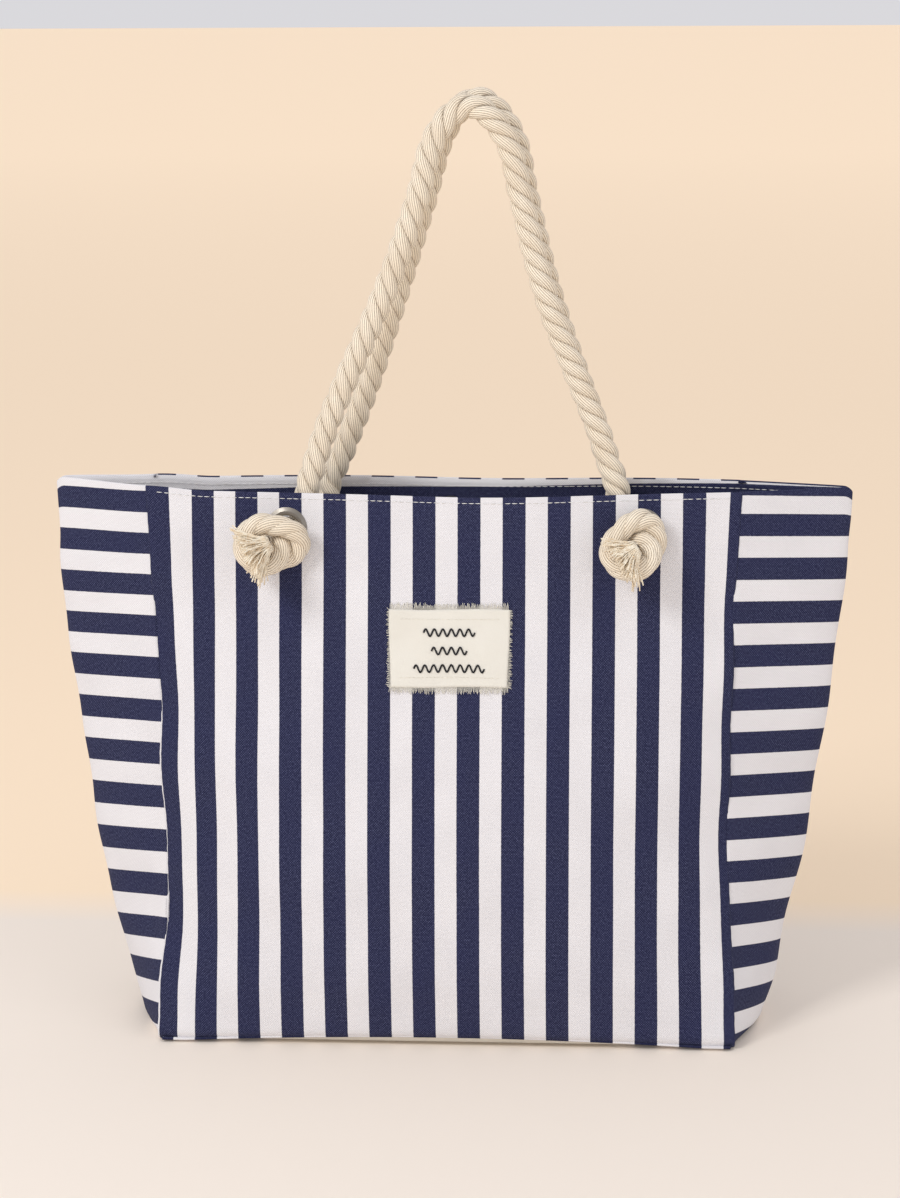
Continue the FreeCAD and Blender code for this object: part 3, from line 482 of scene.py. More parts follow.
def eyelet_facts():
    """Centre and outward direction of each eyelet, from its CAD node."""
    facts = {}
    for name in KNOTS:
        corners = cad_corners(name + "_eyelet")
        axis = np.linalg.eigh(np.cov((corners - corners.mean(0)).T))[1][:, 0]
        outward = axis * np.sign(axis[1] * (-1 if "front" in name else 1))
        facts[name] = (box_middle(corners), outward)
    return facts


EYELETS = eyelet_facts()


# ---- materials ----


def colour(red, green, blue):
    """A screen colour, 0 to 255, as the linear colour Blender uses."""
    levels = np.array([red, green, blue]) / 255
    linear = np.where(levels <= 0.04045, levels / 12.92, ((levels + 0.055) / 1.055) ** 2.4)
    return (*linear, 1.0)


class Shader:
    """A node material with a Principled surface."""

    def __init__(self, name, **surface):
        self.material = bpy.data.materials.new(name)
        self.material.use_nodes = True
        self.tree = self.material.node_tree
        self.surface = self.tree.nodes["Principled BSDF"]
        for label, value in surface.items():
            self.set(label.replace("_", " "), value)

    def set(self, label, value):
        self.connect(value, self.surface.inputs[label])

    def connect(self, value, socket):
        if isinstance(value, bpy.types.NodeSocket):
            self.tree.links.new(value, socket)
        else:
            socket.default_value = value

    def node(self, kind, inputs=(), **settings):
        node = self.tree.nodes.new("ShaderNode" + kind)
        for name, value in settings.items():
            setattr(node, name, value)
        for key, value in dict(inputs).items():
            self.connect(value, node.inputs[key])
        return node

    def math(self, operation, *values):
        node = self.node("Math", operation=operation)
        for socket, value in zip(node.inputs, values):
            self.connect(value, socket)
        return node.outputs[0]

    def place(self, kind="Object"):
        return self.node("TexCoord").outputs[kind]

    def parts(self, place):
        return self.node("SeparateXYZ", {0: place}).outputs

    def noise(self, where, scale, detail=2.0, roughness=0.5):
        inputs = {"Vector": where, "Scale": scale, "Detail": detail, "Roughness": roughness}
        return self.node("TexNoise", inputs).outputs["Fac"]

    def blend(self, share, low, high):
        node = self.node("Mix", data_type="RGBA")
        self.connect(share, node.inputs["Factor"])
        self.connect(low, node.inputs[6])
        self.connect(high, node.inputs[7])
        return node.outputs[2]

    def spread(self, value, low, high, to_low, to_high):
        inputs = {"Value": value, "From Min": low, "From Max": high, "To Min": to_low, "To Max": to_high}
        return self.node("MapRange", inputs).outputs[0]

    def tint(self, tone, shade, value, low, high, to_low, to_high):
        """Mixes a shade into a tone by as much as a value says."""
        return self.blend(self.spread(value, low, high, to_low, to_high), tone, shade)

    def bump(self, height, distance, strength=1.0):
        inputs = {"Height": height, "Distance": distance, "Strength": strength}
        self.set("Normal", self.node("Bump", inputs).outputs[0])

    def wave(self, value, period):
        """A sine of a length, from -1 to 1."""
        return self.math("SINE", self.math("MULTIPLY", value, 2 * math.pi / period))


def woven_height(shader, across, down, pitch_across, pitch_down):
    """Threads of a plain weave, as a height from 0 to 1."""
    row = shader.math("FLOOR", shader.math("DIVIDE", down, pitch_down))
    shift = shader.math("MULTIPLY", row, math.pi)
    warp = shader.math("SINE", shader.math("MULTIPLY_ADD", across, 2 * math.pi / pitch_across, shift))
    weft = shader.math("ABSOLUTE", shader.wave(down, 2 * pitch_down))
    return shader.math("MULTIPLY", shader.math("MULTIPLY_ADD", warp, 0.5, 0.5), weft)


def canvas_material(name, by_height, first_white, tilt=0.0):
    """Yarn-dyed canvas; first_white is the middle of a white stripe along the cloth."""
    shader = Shader(name, Roughness=0.92, Sheen_Weight=0.03, Sheen_Roughness=0.5, Specular_IOR_Level=0.12)
    where = shader.place("UV")
    across, down, _ = shader.parts(where)
    run = shader.math("MULTIPLY_ADD", across, tilt, down) if by_height else across
    fine = shader.noise(where, 900, 3)
    ragged = shader.math("MULTIPLY_ADD", fine, STRIPE_RAGGED, -STRIPE_RAGGED / 2)
    shifted = shader.math("ADD", run, STRIPE_PITCH / 2 - first_white)
    turned = shader.math("FLOORED_MODULO", shifted, STRIPE_PITCH)
    away = shader.math("ABSOLUTE", shader.math("SUBTRACT", turned, STRIPE_PITCH / 2))
    away = shader.math("ADD", away, ragged)
    half = STRIPE_WHITE / 2
    white = shader.spread(away, half - STRIPE_SOFT, half + STRIPE_SOFT, 1.0, 0.0)
    weave = woven_height(shader, across, down, 1.5 * MM, 0.8 * MM)
    patch = shader.noise(where, 22, 2)
    lint = shader.noise(where, 700, 2)
    specks = shader.math("MULTIPLY", weave, shader.spread(lint, 0.35, 0.75, 0.15, 0.6))
    navy = shader.tint(shader.blend(specks, NAVY, NAVY_SPECK), NAVY_WORN, patch, 0.35, 0.7, 0.0, 0.3)
    # Painted shade: the white darkens where the weave runs low, in the gaps between threads; the next line
    # mottles it with the same grey at random.
    pale = shader.tint(CANVAS_WHITE, CANVAS_SHADE, weave, 0.0, 0.6, 0.35, 0.0)
    pale = shader.tint(pale, CANVAS_SHADE, patch, 0.35, 0.75, 0.0, 0.18)
    shader.set("Base Color", shader.blend(white, navy, pale))
    shader.bump(shader.math("MULTIPLY_ADD", fine, 0.35, weave), 0.22 * MM, 0.8)
    return shader.material


NAVY = colour(23, 25, 54)
NAVY_SPECK = colour(138, 144, 184)
NAVY_WORN = colour(42, 45, 82)
CANVAS_WHITE = colour(240, 238, 240)
CANVAS_SHADE = colour(186, 182, 184)
THREAD_WHITE = colour(246, 246, 246)
LINING_WHITE = colour(232, 226, 214)
LABEL_CREAM = colour(238, 235, 226)
LABEL_SHADE = colour(220, 214, 200)
INK_THREAD = colour(22, 22, 24)
ROPE_PALE = colour(255, 243, 222)
ROPE_DEEP = colour(208, 181, 145)
ROPE_CRACK_SHADE = colour(112, 82, 50)
ROPE_GROOVE_SHADE = colour(96, 68, 42)
STEEL = colour(150, 144, 136)
STEEL_DULL = colour(128, 122, 114)


def plain_weave_material(name, light, shade, pitch):
    shader = Shader(name, Roughness=0.9, Sheen_Weight=0.12, Specular_IOR_Level=0.2)
    where = shader.place("UV")
    across, down, _ = shader.parts(where)
    weave = woven_height(shader, across, down, pitch * 1.3, pitch)
    # Painted shade where the weave runs low, in the gaps between threads; the line after mottles the cloth
    # at random.
    tone = shader.tint(light, shade, weave, 0.0, 0.7, 0.4, 0.0)
    tone = shader.tint(tone, shade, shader.noise(where, 30, 3), 0.35, 0.75, 0.0, 0.35)
    shader.set("Base Color", tone)
    fine = shader.noise(where, 800, 3)
    shader.bump(shader.math("MULTIPLY_ADD", fine, 0.4, weave), 0.18 * MM, 0.7)
    return shader.material


def rope_material():
    """Cotton strands: fine yarns wind round each strand, with painted shade in the cracks between yarns and
    in the gaps where strands meet.
    """
    shader = Shader("cotton_rope", Roughness=0.93, Sheen_Weight=0.2, Sheen_Roughness=0.6)
    shader.set("Specular IOR Level", 0.12)
    round_strand, along, _ = shader.parts(shader.place("UV"))
    turn = shader.math("MULTIPLY", round_strand, 2 * math.pi * STRAND_YARNS)
    turn = shader.math("MULTIPLY_ADD", along, -2 * math.pi * STRAND_YARNS / YARN_TURN, turn)
    place = shader.place()
    fibre = shader.noise(place, 1500, 4, 0.65)
    turn = shader.math("MULTIPLY_ADD", fibre, 1.6, turn)
    ridge = shader.math("ABSOLUTE", shader.math("SINE", shader.math("MULTIPLY", turn, 0.5)))
    # Painted shade: the cracks between yarns, where the ridge runs low, are darkened, a little unevenly
    # along the fibres.
    crack_shade = shader.spread(ridge, 0.08, 0.5, 1.0, 0.0)
    crack_shade = shader.math("MULTIPLY", crack_shade, shader.spread(fibre, 0.3, 0.7, 0.65, 1.0))
    tone = shader.blend(crack_shade, ROPE_PALE, ROPE_CRACK_SHADE)
    tone = shader.tint(tone, ROPE_DEEP, fibre, 0.45, 0.75, 0.0, 0.25)
    tone = shader.tint(tone, ROPE_DEEP, shader.noise(place, 60, 3), 0.4, 0.75, 0.0, 0.25)
    # Painted shade: each strand's sides darken away from its crown, into the grooves where the strands meet.
    turned = shader.math("FRACT", shader.math("ADD", round_strand, 0.5))
    from_crown = shader.math("ABSOLUTE", shader.math("SUBTRACT", turned, 0.5))
    tone = shader.tint(tone, ROPE_GROOVE_SHADE, from_crown, 0.19, 0.30, 0.0, 0.85)
    shader.set("Base Color", tone)
    shader.bump(shader.math("MULTIPLY_ADD", fibre, 0.5, ridge), 0.4 * MM)
    return shader.material


def yarn_material(name, light, shade):
    shader = Shader(name, Roughness=0.9, Sheen_Weight=0.25, Specular_IOR_Level=0.2)
    round_yarn, along, _ = shader.parts(shader.place("UV"))
    turn = shader.math("MULTIPLY_ADD", along, 9000.0, shader.math("MULTIPLY", round_yarn, 4 * math.pi))
    ridge = shader.math("ABSOLUTE", shader.math("SINE", turn))
    tone = shader.tint(light, shade, shader.noise(shader.place(), 260, 2), 0.35, 0.7, 0.0, 0.8)
    # Painted shade in the grooves of the yarn's twist, where the ridge runs low.
    shader.set("Base Color", shader.tint(tone, shade, ridge, 0.0, 0.5, 0.3, 0.0))
    shader.bump(ridge, 0.08 * MM, 0.6)
    return shader.material


def metal_material():
    shader = Shader("nickel", Metallic=1.0)
    place = shader.place()
    cloudy = shader.noise(place, 220, 4)
    shader.set("Base Color", shader.blend(cloudy, STEEL, STEEL_DULL))
    shader.set("Roughness", shader.spread(cloudy, 0.3, 0.7, 0.34, 0.5))
    shader.bump(shader.noise(place, 2400, 2), 0.03 * MM, 0.4)
    return shader.material


def tape_material(name, light, shade):
    """Ribbed woven tape; it reads the piece's own coordinates because CAD tape has no cloth ones."""
    shader = Shader(name, Roughness=0.85, Sheen_Weight=0.1)
    x, _, z = shader.parts(shader.place())
    ribs = shader.math("MULTIPLY", shader.wave(x, 0.9 * MM), shader.wave(z, 0.7 * MM))
    weave = shader.math("MULTIPLY_ADD", ribs, 0.5, 0.5)
    # Painted shade: the tape darkens in the hollows between its ribs.
    shader.set("Base Color", shader.blend(weave, shade, light))
    shader.bump(weave, 0.1 * MM, 0.6)
    return shader.material


PANEL_CANVAS = canvas_material("striped_canvas_upright", False, 1.5 * MM)
BACK_CANVAS = canvas_material("striped_canvas_back", False, -2.0 * MM)
LEFT_CANVAS = canvas_material("striped_canvas_left", True, 20.2 * MM)
RIGHT_CANVAS = canvas_material("striped_canvas_right", True, 7.3 * MM)
BAND_CANVAS = canvas_material("striped_canvas_band", True, -1.75 * MM, 0.020)
LINING = plain_weave_material("lining_cloth", LINING_WHITE, colour(206, 198, 182), 0.6 * MM)
LABEL = plain_weave_material("label_cotton", LABEL_CREAM, LABEL_SHADE, 0.55 * MM)
ROPE = rope_material()
TUFT = yarn_material("cotton_yarn", colour(255, 246, 226), colour(226, 202, 168))
SEWING = yarn_material("sewing_thread", THREAD_WHITE, colour(206, 202, 196))
FRINGE = yarn_material("label_fringe", colour(242, 238, 224), LABEL_SHADE)
BLACK_THREAD = yarn_material("label_thread", INK_THREAD, colour(48, 48, 52))
NICKEL = metal_material()
ZIP_TAPE = tape_material("zip_tape", colour(226, 220, 206), colour(190, 183, 168))
ZIP_COIL = yarn_material("zip_coil", colour(222, 216, 202), colour(180, 172, 156))


# ---- canvas ----


def from_edges(values):
    """Each column's distance from the row's outermost ones."""
    size = np.abs(values)
    return np.abs(size - size.max(1, keepdims=True))


def panel_relief(x, z, seed, from_seam):
    """Ripples that fade at the rim and the floor, and small gathers that sewing leaves by a seam."""
    calm = 1 - eased(z, RISE - 0.07, RISE - 0.045)
    relief = PANEL_RIPPLE * ripples(x, z, seed) * calm * eased(z, 0.0, 0.04)
    gathers = np.sin(2 * math.pi * z / (9 * MM) + 1.3 * np.sin(z / (31 * MM)))
    return relief + 0.12 * MM * np.exp(-from_seam / (6 * MM)) * gathers


def make_panel(side, name, material, node, seed):
    z = np.linspace(BASE_ROLL, RISE - RIM_ROLL, 112)
    plan, normals = with_rolled_edges(panel_plan(side, z, 121))
    relief = panel_relief(plan[..., 0], z[:, None], seed, from_edges(plan[..., 0]))
    points = walled(plan, normals, z, relief, arched=True)
    coords = cloth_coords(points, rim_row(z))
    if side > 0:
        coords[..., 0] *= -1
    else:
        left_at = 1.6 * MM * eased(points[:, SEAM_COLUMNS - 1, 2], 0.21, 0.26) - LEFT_SEAM_AT
        coords[..., 0] = to_seam(coords[..., 0], left_at[:, None], SEAM_COLUMNS - 1)
        coords[..., 0] = to_seam(coords[..., 0], RIGHT_SEAM_AT, -SEAM_COLUMNS)
    make_cloth(name, material, node, CANVAS, points, coords, hidden=near_eyelets)


def to_seam(across, seam_at, column):
    """Stretches the stripes beside a seam so that the same thread runs along all of it."""
    way = np.sign(seam_at)
    start = way * SEAM_STRETCH
    seam = across[:, column][:, None]
    scale = (seam_at - start) / (seam - start)
    return np.where(across * way > SEAM_STRETCH, start + (across - start) * scale, across)


def make_gusset(side, name, material, node, seed):
    z = np.linspace(BASE_ROLL, RISE - RIM_ROLL, 100)
    plan = gusset_plan(side, z, 61, GUSSET_INSET)
    y, level = plan[..., 1], z[:, None]
    relief = GUSSET_RIPPLE * ripples(y, level, seed, 0.045, 0.12) * eased(level, 0.0, 0.04)
    relief *= 1 - eased(level, RISE - 0.05, RISE - 0.02)
    relief *= eased(from_edges(y), 0, 12 * MM)
    points = walled(plan, plan_normals(plan), z, relief, arched=False)
    coords = cloth_coords(points, rim_row(z))
    low = 1 - np.clip(points[..., 2] / RISE, 0, 1)
    drop = 2.6 * MM + 14 * MM * low ** 1.7 if side < 0 else 4.5 * MM + 8 * MM * low ** 2
    from_seam = 1 - np.abs(points[..., 1]) / np.abs(points[:, :1, 1])
    down = coords[:, :1, 1] * GUSSET_STRETCH - drop * np.clip(from_seam, 0, 1)
    if side > 0:
        down -= 2.2 * MM * (1 - eased(down, 2 * MM, 14 * MM))
    else:
        down -= 5 * MM * (1 - eased(down, -0.01, 0.125))
        down -= 3.2 * MM * eased(down, 0.18, 0.29)
    coords[..., 1] = down
    make_cloth(name, material, node, CANVAS, points, coords)


def make_base():
    """The base cloth, arched with the panels' lower edges."""
    half_x = SEAM_REACH(BASE_ROLL) - 2 * MM
    half_y = MIDDLE_DEPTH(BASE_ROLL) - 2 * MM
    tip = FOLD_REACH(BASE_ROLL) - half_x - 5 * MM
    y = np.linspace(-half_y, half_y, 41)[:, None]
    x = np.linspace(-1, 1, 81)[None] * (half_x + tip * (1 - np.abs(y) / half_y))
    points = np.stack(np.broadcast_arrays(x, y, 0 * x * y), -1).copy()
    edge = eased(np.abs(y) / half_y, 0.2, 1.0)
    points[..., 2] = 2.4 * MM + base_arch(x) * edge
    make_cloth(
        "base_canvas", PANEL_CANVAS, "base_panel", CANVAS, points, points[..., :2].copy()
    )


def half_ring(side, z, inset, columns):
    """Plan of one facing: half a gusset, the panel, half a gusset."""
    panel = panel_plan(side, z, columns, inset)
    before = gusset_plan(-1 if side < 0 else 1, z, 41, inset)[:, 21:]
    after = gusset_plan(1 if side < 0 else -1, z, 41, inset)[:, :20]
    return np.concatenate([before[:, :-1], panel, after[:, 1:]], 1)


def make_facing(side, name, node):
    """The band folded inside the rim; past the seams it stands a little further in."""
    z = np.linspace(RISE - FACING_DROP, RISE - 0.9 * MM, 16)
    plan = half_ring(side, z, FACING_INSET, 101)
    points, outward = standing(plan, plan_normals(plan), z)
    away = np.minimum.reduce([np.linalg.norm(points - middle, axis=-1) for middle, _ in EYELETS.values()])
    relief = FACING_RIPPLE * ripples(points[..., 0], points[..., 2], 41 + side, 0.03, 0.08)
    points += outward * (relief * eased(away, 15 * MM, 30 * MM))[..., None]
    points -= outward * (0.8 * MM * eased(np.abs(points[..., 0]), 0.184, 0.196))[..., None]
    points[..., 2] += rim_dip(points[..., 0], points[..., 2])
    coords = cloth_coords(points, len(z) - 1)
    if side > 0:
        coords[..., 0] *= -1
    points, coords = points[:, ::-1], coords[:, ::-1]
    make_cloth(name, BAND_CANVAS, node, FACING_CLOTH, points, coords, hidden=near_eyelets)


def near_pocket(points):
    """1 on the back wall round the pocket and its zip, 0 away from them."""
    low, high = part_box("pocket_panel")
    top = max(high.z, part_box("zip_upper_tape")[1].z)
    beside = np.maximum(low.x - points[..., 0], points[..., 0] - high.x)
    beyond = np.maximum(low.z - points[..., 2], points[..., 2] - top)
    return (1 - eased(np.maximum(beside, beyond), 6 * MM, 22 * MM)) * (points[..., 1] > 0)


def make_lining():
    z = np.concatenate([[3.0 * MM], np.linspace(8 * MM, LINING_TOP, 70)])
    parts = []
    for side in (-1, 1):
        parts.append(panel_plan(side, z, 81, LINING_INSET)[:, :-1])
        parts.append(gusset_plan(-side, z, 31, LINING_INSET)[:, :-1])
    plan = np.concatenate(parts, 1)
    wrapped = np.concatenate([plan[:, -1:], plan, plan[:, :1]], 1)
    points, outward = standing(plan, plan_normals(wrapped)[:, 1:-1], z)
    level = z[:, None]
    draw = ripples(np.arange(plan.shape[1])[None] * 4.3 * MM, level, 77, 0.05, 0.13)
    soft = LINING_RIPPLE * (draw - 1.2) * eased(level, 0.01, 0.05)
    points = points + outward * (soft * (1 - near_pocket(points)))[..., None]
    floor = [points[0] * np.array([scale, scale, 1.0]) for scale in (0.2, 0.6, 0.94)]
    points = np.concatenate([np.stack(floor), points])
    closed = np.concatenate([points, points[:, :1]], 1)
    coords = cloth_coords(closed, len(closed) - 1, 0)
    sheet = Pieces()
    sheet.grid(points[:, ::-1], coords[:, ::-1], wrap=True)
    count = points.shape[1]
    sheet.faces.append(list(range(count))[::-1])
    sheet.coords.append(np.zeros((count, 2)))
    thicken(sheet.make("lining_bag", LINING, ["lining"]), LINING_CLOTH)


# ---- sewing ----


def sewn_row(sheet, path, outward, radius, pitch=STITCH_PITCH, length=STITCH_LENGTH, seed=5):
    """Adds a row of stitches along a path that lies on the cloth."""
    marks = travelled(path)
    draw = np.random.default_rng(seed)
    shape = np.sin(np.linspace(0.12, math.pi - 0.12, 6))
    for start in np.arange(pitch / 2, marks[-1] - pitch, pitch):
        at = start + draw.normal(0, 0.06) * pitch + np.linspace(0, length, 6)
        height = radius * 1.1 * shape - 0.1 * radius
        line = sampled(at, marks, path) + sampled(at, marks, outward) * height[:, None]
        sheet.tube(line, radius * (0.45 + 0.55 * shape))


def panel_line(side, x, z, seed):
    """Points on a panel's outer face, with its relief, and their outward directions."""
    seam_x, seam_y, middle, _ = plan_sizes(z, 0.0)
    seam_x = seam_x + left_flare(z) * (x < 0)
    power = bow_power(z)
    share = np.clip(np.abs(x) / seam_x, 0, 1)
    depth = middle - (middle - seam_y) * share ** power
    slope = -(middle - seam_y) * power * share ** (power - 1) / seam_x * np.sign(x)
    outward = unit(np.column_stack([-slope, side + 0 * z, 0 * z]))
    relief = panel_relief(x, z, seed, np.abs(np.abs(x) - SEAM_REACH(z)))
    return np.column_stack([x, side * depth, z + rim_dip(x, z)]) + outward * relief[:, None], outward


def make_stitching():
    for side, name, seed in ((-1, "front", FRONT_SEED), (1, "back", BACK_SEED)):
        sheet = Pieces()
        x = np.linspace(-0.184, 0.180, 240)
        line = panel_line(side, x, np.full_like(x, RISE - 3.6 * MM), seed)
        sewn_row(sheet, *line, 0.27 * MM, seed=seed)
        sheet.make(name + "_topstitch", SEWING)
    sheet = Pieces()
    for side in (-1, 1):
        z = np.array([RISE - FACING_DROP + 4 * MM, RISE - 5.2 * MM])
        plan = half_ring(side, z, FACING_INSET + FACING_CLOTH, 101)
        normals = plan_normals(plan)
        for row in range(2):
            path = np.column_stack([plan[row], z[row] + rim_dip(plan[row][:, 0], z[row])])
            inward = np.column_stack([-normals[row], 0 * normals[row][:, 0]])
            sewn_row(sheet, path, inward, 0.25 * MM, seed=30 + row)
    sheet.make("facing_topstitch", SEWING)


def make_label():
    low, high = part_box("label_patch")
    middle_x, middle_z = (low.x + high.x) / 2, (low.z + high.z) / 2
    half_x, half_z = (high.x - low.x) / 2, (high.z - low.z) / 2
    lift = 1.1 * MM

    def on_label(across, up, rise=0.0):
        shape = np.broadcast(across, up).shape
        x = np.broadcast_to(middle_x + across, shape).ravel()
        z = np.broadcast_to(middle_z + up, shape).ravel()
        point, outward = panel_line(-1, x, z, FRONT_SEED)
        wave = 0.35 * MM * ripples(x, z, 61, 0.02, 0.05)
        return (point + outward * (lift + wave + rise)[:, None]).reshape(shape + (3,))

    across = np.linspace(-half_x, half_x, 51)[None]
    up = np.linspace(-half_z, half_z, 35)[:, None]
    bow = 0.8 * MM * np.sin(np.pi * up / half_z * 0.5 + 0.4)
    points = on_label(across + bow * across / half_x, up + 0.4 * MM * np.sin(across * 90))
    coords = np.stack(np.broadcast_arrays(across, up), -1)
    make_cloth("label_cloth", LABEL, "label_patch", LABEL_CLOTH, points, coords)

    draw = np.random.default_rng(8)
    fringe = Pieces()

    def yarn(start, reach, lean, rise):
        """How far out a frayed yarn runs, where it lies along the edge and how high."""
        run = np.linspace(-1.5 * MM, reach, 5)
        share = np.clip(run / reach, 0, 1)
        return run, start + lean * share ** 2, rise * share - 0.2 * MM

    for way in (-1, 1):
        for start in np.arange(-half_x, half_x, 0.62 * MM):
            reach = draw.uniform(2.2, 4.6) * MM
            lean = draw.normal(0, 0.5) * MM
            draw.normal()  # a spare draw that keeps the later ones in their order
            run, x, rise = yarn(start, reach, lean, draw.uniform(-0.5, 0.5) * MM)
            fringe.tube(on_label(x, way * (half_z + run), rise), FRINGE_RADIUS, 4)
        for start in np.arange(-half_z, half_z, 0.6 * MM):
            reach = draw.uniform(0.8, 2.6) * MM
            lean = draw.normal(0, 0.5) * MM
            run, z, rise = yarn(start, reach, lean, draw.uniform(-0.4, 0.5) * MM)
            fringe.tube(on_label(way * (half_x + run), z, rise), FRINGE_RADIUS, 4)
    fringe.make("label_fringe", FRINGE)

    holding = Pieces()
    x = np.linspace(-half_x + 5 * MM, half_x - 5 * MM, 90)
    outward = panel_line(-1, middle_x + x, np.full_like(x, middle_z), FRONT_SEED)[1]
    for way in (-1, 1):
        path = on_label(x, np.full_like(x, way * (half_z - 6 * MM)))
        sewn_row(holding, path, outward, 0.16 * MM, 2.6 * MM, 2.0 * MM, 9)
    holding.make("label_topstitch", FRINGE)

    mark = Pieces()
    for rise, half, waves in ((9.6 * MM, 16 * MM, 6), (-1.7 * MM, 11 * MM, 4), (-12.5 * MM, 22 * MM, 8)):
        x = np.linspace(-half, half, 24 * waves)
        z = rise + 2.2 * MM * np.sin(x / half * math.pi * waves)
        mark.tube(on_label(x, z, 0.25 * MM), 0.6 * MM)
    mark.make("label_waves", BLACK_THREAD, ["label_stitching"])


# ---- rope ----


def tight_overhand():
    """Centre line of an overhand knot pulled tight, in rope diameters.

    A chain of points is pulled at both ends while its links keep their length, its turns
    stay round and its passes keep one diameter apart. Returns the knotted stretch only.
    """
    spacing = 0.25
    drawn_in = 9.0
    steps, step_pull = 400, 0.12
    push, smoothing = 0.3, 0.05
    tightest_chord = 0.82
    theta = np.linspace(0.2, 2 * math.pi - 0.2, 200)
    swing = 2 + np.cos(3 * theta)
    trefoil = [swing * np.cos(2 * theta), swing * np.sin(2 * theta), 1.5 * np.sin(3 * theta)]
    loop = 0.8 * np.column_stack(trefoil)
    tail = np.linspace(0.3, 3, 14)
    start = loop[0] + np.outer(tail[::-1], [0.75, 0.65, 0.1])
    end = loop[-1] + np.outer(tail, [0.75, -0.65, -0.1])
    path = even_path(np.concatenate([start, loop, end]), spacing)
    count = len(path)
    wanted = spacing * (count - 1) - drawn_in
    apart = np.abs(np.subtract.outer(np.arange(count), np.arange(count)))
    far = apart >= int(2.0 / spacing)
    span = int(1.0 / spacing)
    for _ in range(steps):
        gap = path[0] - path[-1]
        reach = np.linalg.norm(gap)
        pull = min(step_pull, max(0.0, wanted - reach)) / 2 * gap / reach
        path[0] += pull
        path[-1] -= pull
        ends = path[[0, -1]].copy()
        for _ in range(6):
            delta = path[:, None] - path[None]
            size = np.sqrt((delta ** 2).sum(-1)) + 1e-9
            short = np.where(far & (size < 1.0), (1.0 - size) / size * push, 0.0)
            path += (delta * short[..., None]).sum(1)
            bend = path[span:] - path[:-span]
            length = np.linalg.norm(bend, axis=1, keepdims=True)
            fix = np.clip(tightest_chord - length, 0, 1) / length * push * bend
            path[span:] += fix
            path[:-span] -= fix
            path[1:-1] += smoothing * (path[:-2] + path[2:] - 2 * path[1:-1])
            for parity in (0, 1, 0, 1, 0, 1):
                first, second = path[parity:-1:2], path[parity + 1::2]
                link = second - first
                length = np.linalg.norm(link, axis=1, keepdims=True)
                fix = (length - spacing) / length * 0.5 * link
                path[parity:-1:2] += fix
                path[parity + 1::2] -= fix
                path[[0, -1]] = ends
    size = np.linalg.norm(path[:, None] - path[None], axis=-1)
    touching = np.nonzero(((size < 1.06) & far).any(1))[0]
    knot = path[touching[0] - 3:touching[-1] + 4]
    knot = knot - (knot[0] + knot[-1]) / 2
    axis = unit(knot[-1] - knot[0])
    bulk = knot.mean(0)
    side = unit(bulk - axis * (bulk @ axis))
    return np.column_stack([knot @ axis, knot @ side, knot @ np.cross(axis, side)])


def leg_centres(node, levels):
    """Centres of a rope handle's left and right legs at each level."""
    legs = []
    for level in levels:
        points = section(node, level)
        on_left = points[:, 0] < box_middle(points)[0]
        legs.append([[*box_middle(points[leg, :2]), level] for leg in (on_left, ~on_left)])
    return np.array(legs).swapaxes(0, 1)


def end_path(name, knot):
    """From the frayed end, through the knot and the eyelet, up to the rim."""
    centre, outward = EYELETS[name]
    spin, sideways, upwards = KNOTS[name]
    right = unit(np.cross(UP, outward))
    up = np.cross(outward, right)
    lean = unit(outward + sideways * right + upwards * up)
    cross = unit(np.cross(up, lean))
    above = np.cross(lean, cross)
    swing, lift = math.cos(spin), math.sin(spin)
    basis = np.stack([lean, cross * swing + above * lift, above * swing - cross * lift])
    placed = (knot - knot[0]) * KNOT_PASS @ basis
    placed -= np.outer((placed @ outward) * (1 - KNOT_FLATNESS), outward)
    lowest = (placed @ outward)[CUT_POINTS:].min()
    bulk = placed.mean(0)
    shift = right * (KNOT_SIDEWAYS - bulk @ right) + up * (-KNOT_SAG - bulk @ up)
    placed = placed + centre + shift + outward * (ROPE_RADIUS + KNOT_CLEARANCE - lowest)
    riser = box_middle(section(name + "_rope_end", RISE - 2 * MM)[:, :2])
    throat = [centre + outward * 1 * MM, centre - outward * 5 * MM]
    inside = np.array([*riser, centre[2] + 9 * MM])
    between = (throat[-1] + inside) / 2 - UP * 3.0 * MM - outward * 2.5 * MM
    rise = [inside, np.array([*riser, RISE - 3 * MM])]
    return np.concatenate([placed[:-CUT_POINTS][::-1], throat, [between], rise])


def strand_rope(sheet, path, squeeze, merge):
    """Three strands laid round a path; where merge is 1 they press into one bundle."""
    offset = STRAND_OFFSET * squeeze * (1 - 0.3 * merge)
    radial_size = STRAND_RADIAL * squeeze * (1 + 0.2 * merge)
    tangential_size = STRAND_TANGENTIAL * squeeze * (1 + 0.28 * merge)
    right, side = frames(path)
    length = travelled(path)
    turn = np.linspace(0, 2 * math.pi, STRAND_SIDES, endpoint=False)
    for strand in range(3):
        angle = -2 * math.pi * length / ROPE_LAY + 2 * math.pi * strand / 3
        radial = right * np.cos(angle)[:, None] + side * np.sin(angle)[:, None]
        middle = path + radial * offset[:, None]
        across = unit(np.cross(unit(np.gradient(middle, axis=0)), radial))
        ring = radial[:, None] * np.outer(radial_size, np.cos(turn))[..., None]
        ring += across[:, None] * np.outer(tangential_size, np.sin(turn))[..., None]
        sheet.rings(middle[:, None] + ring, length)


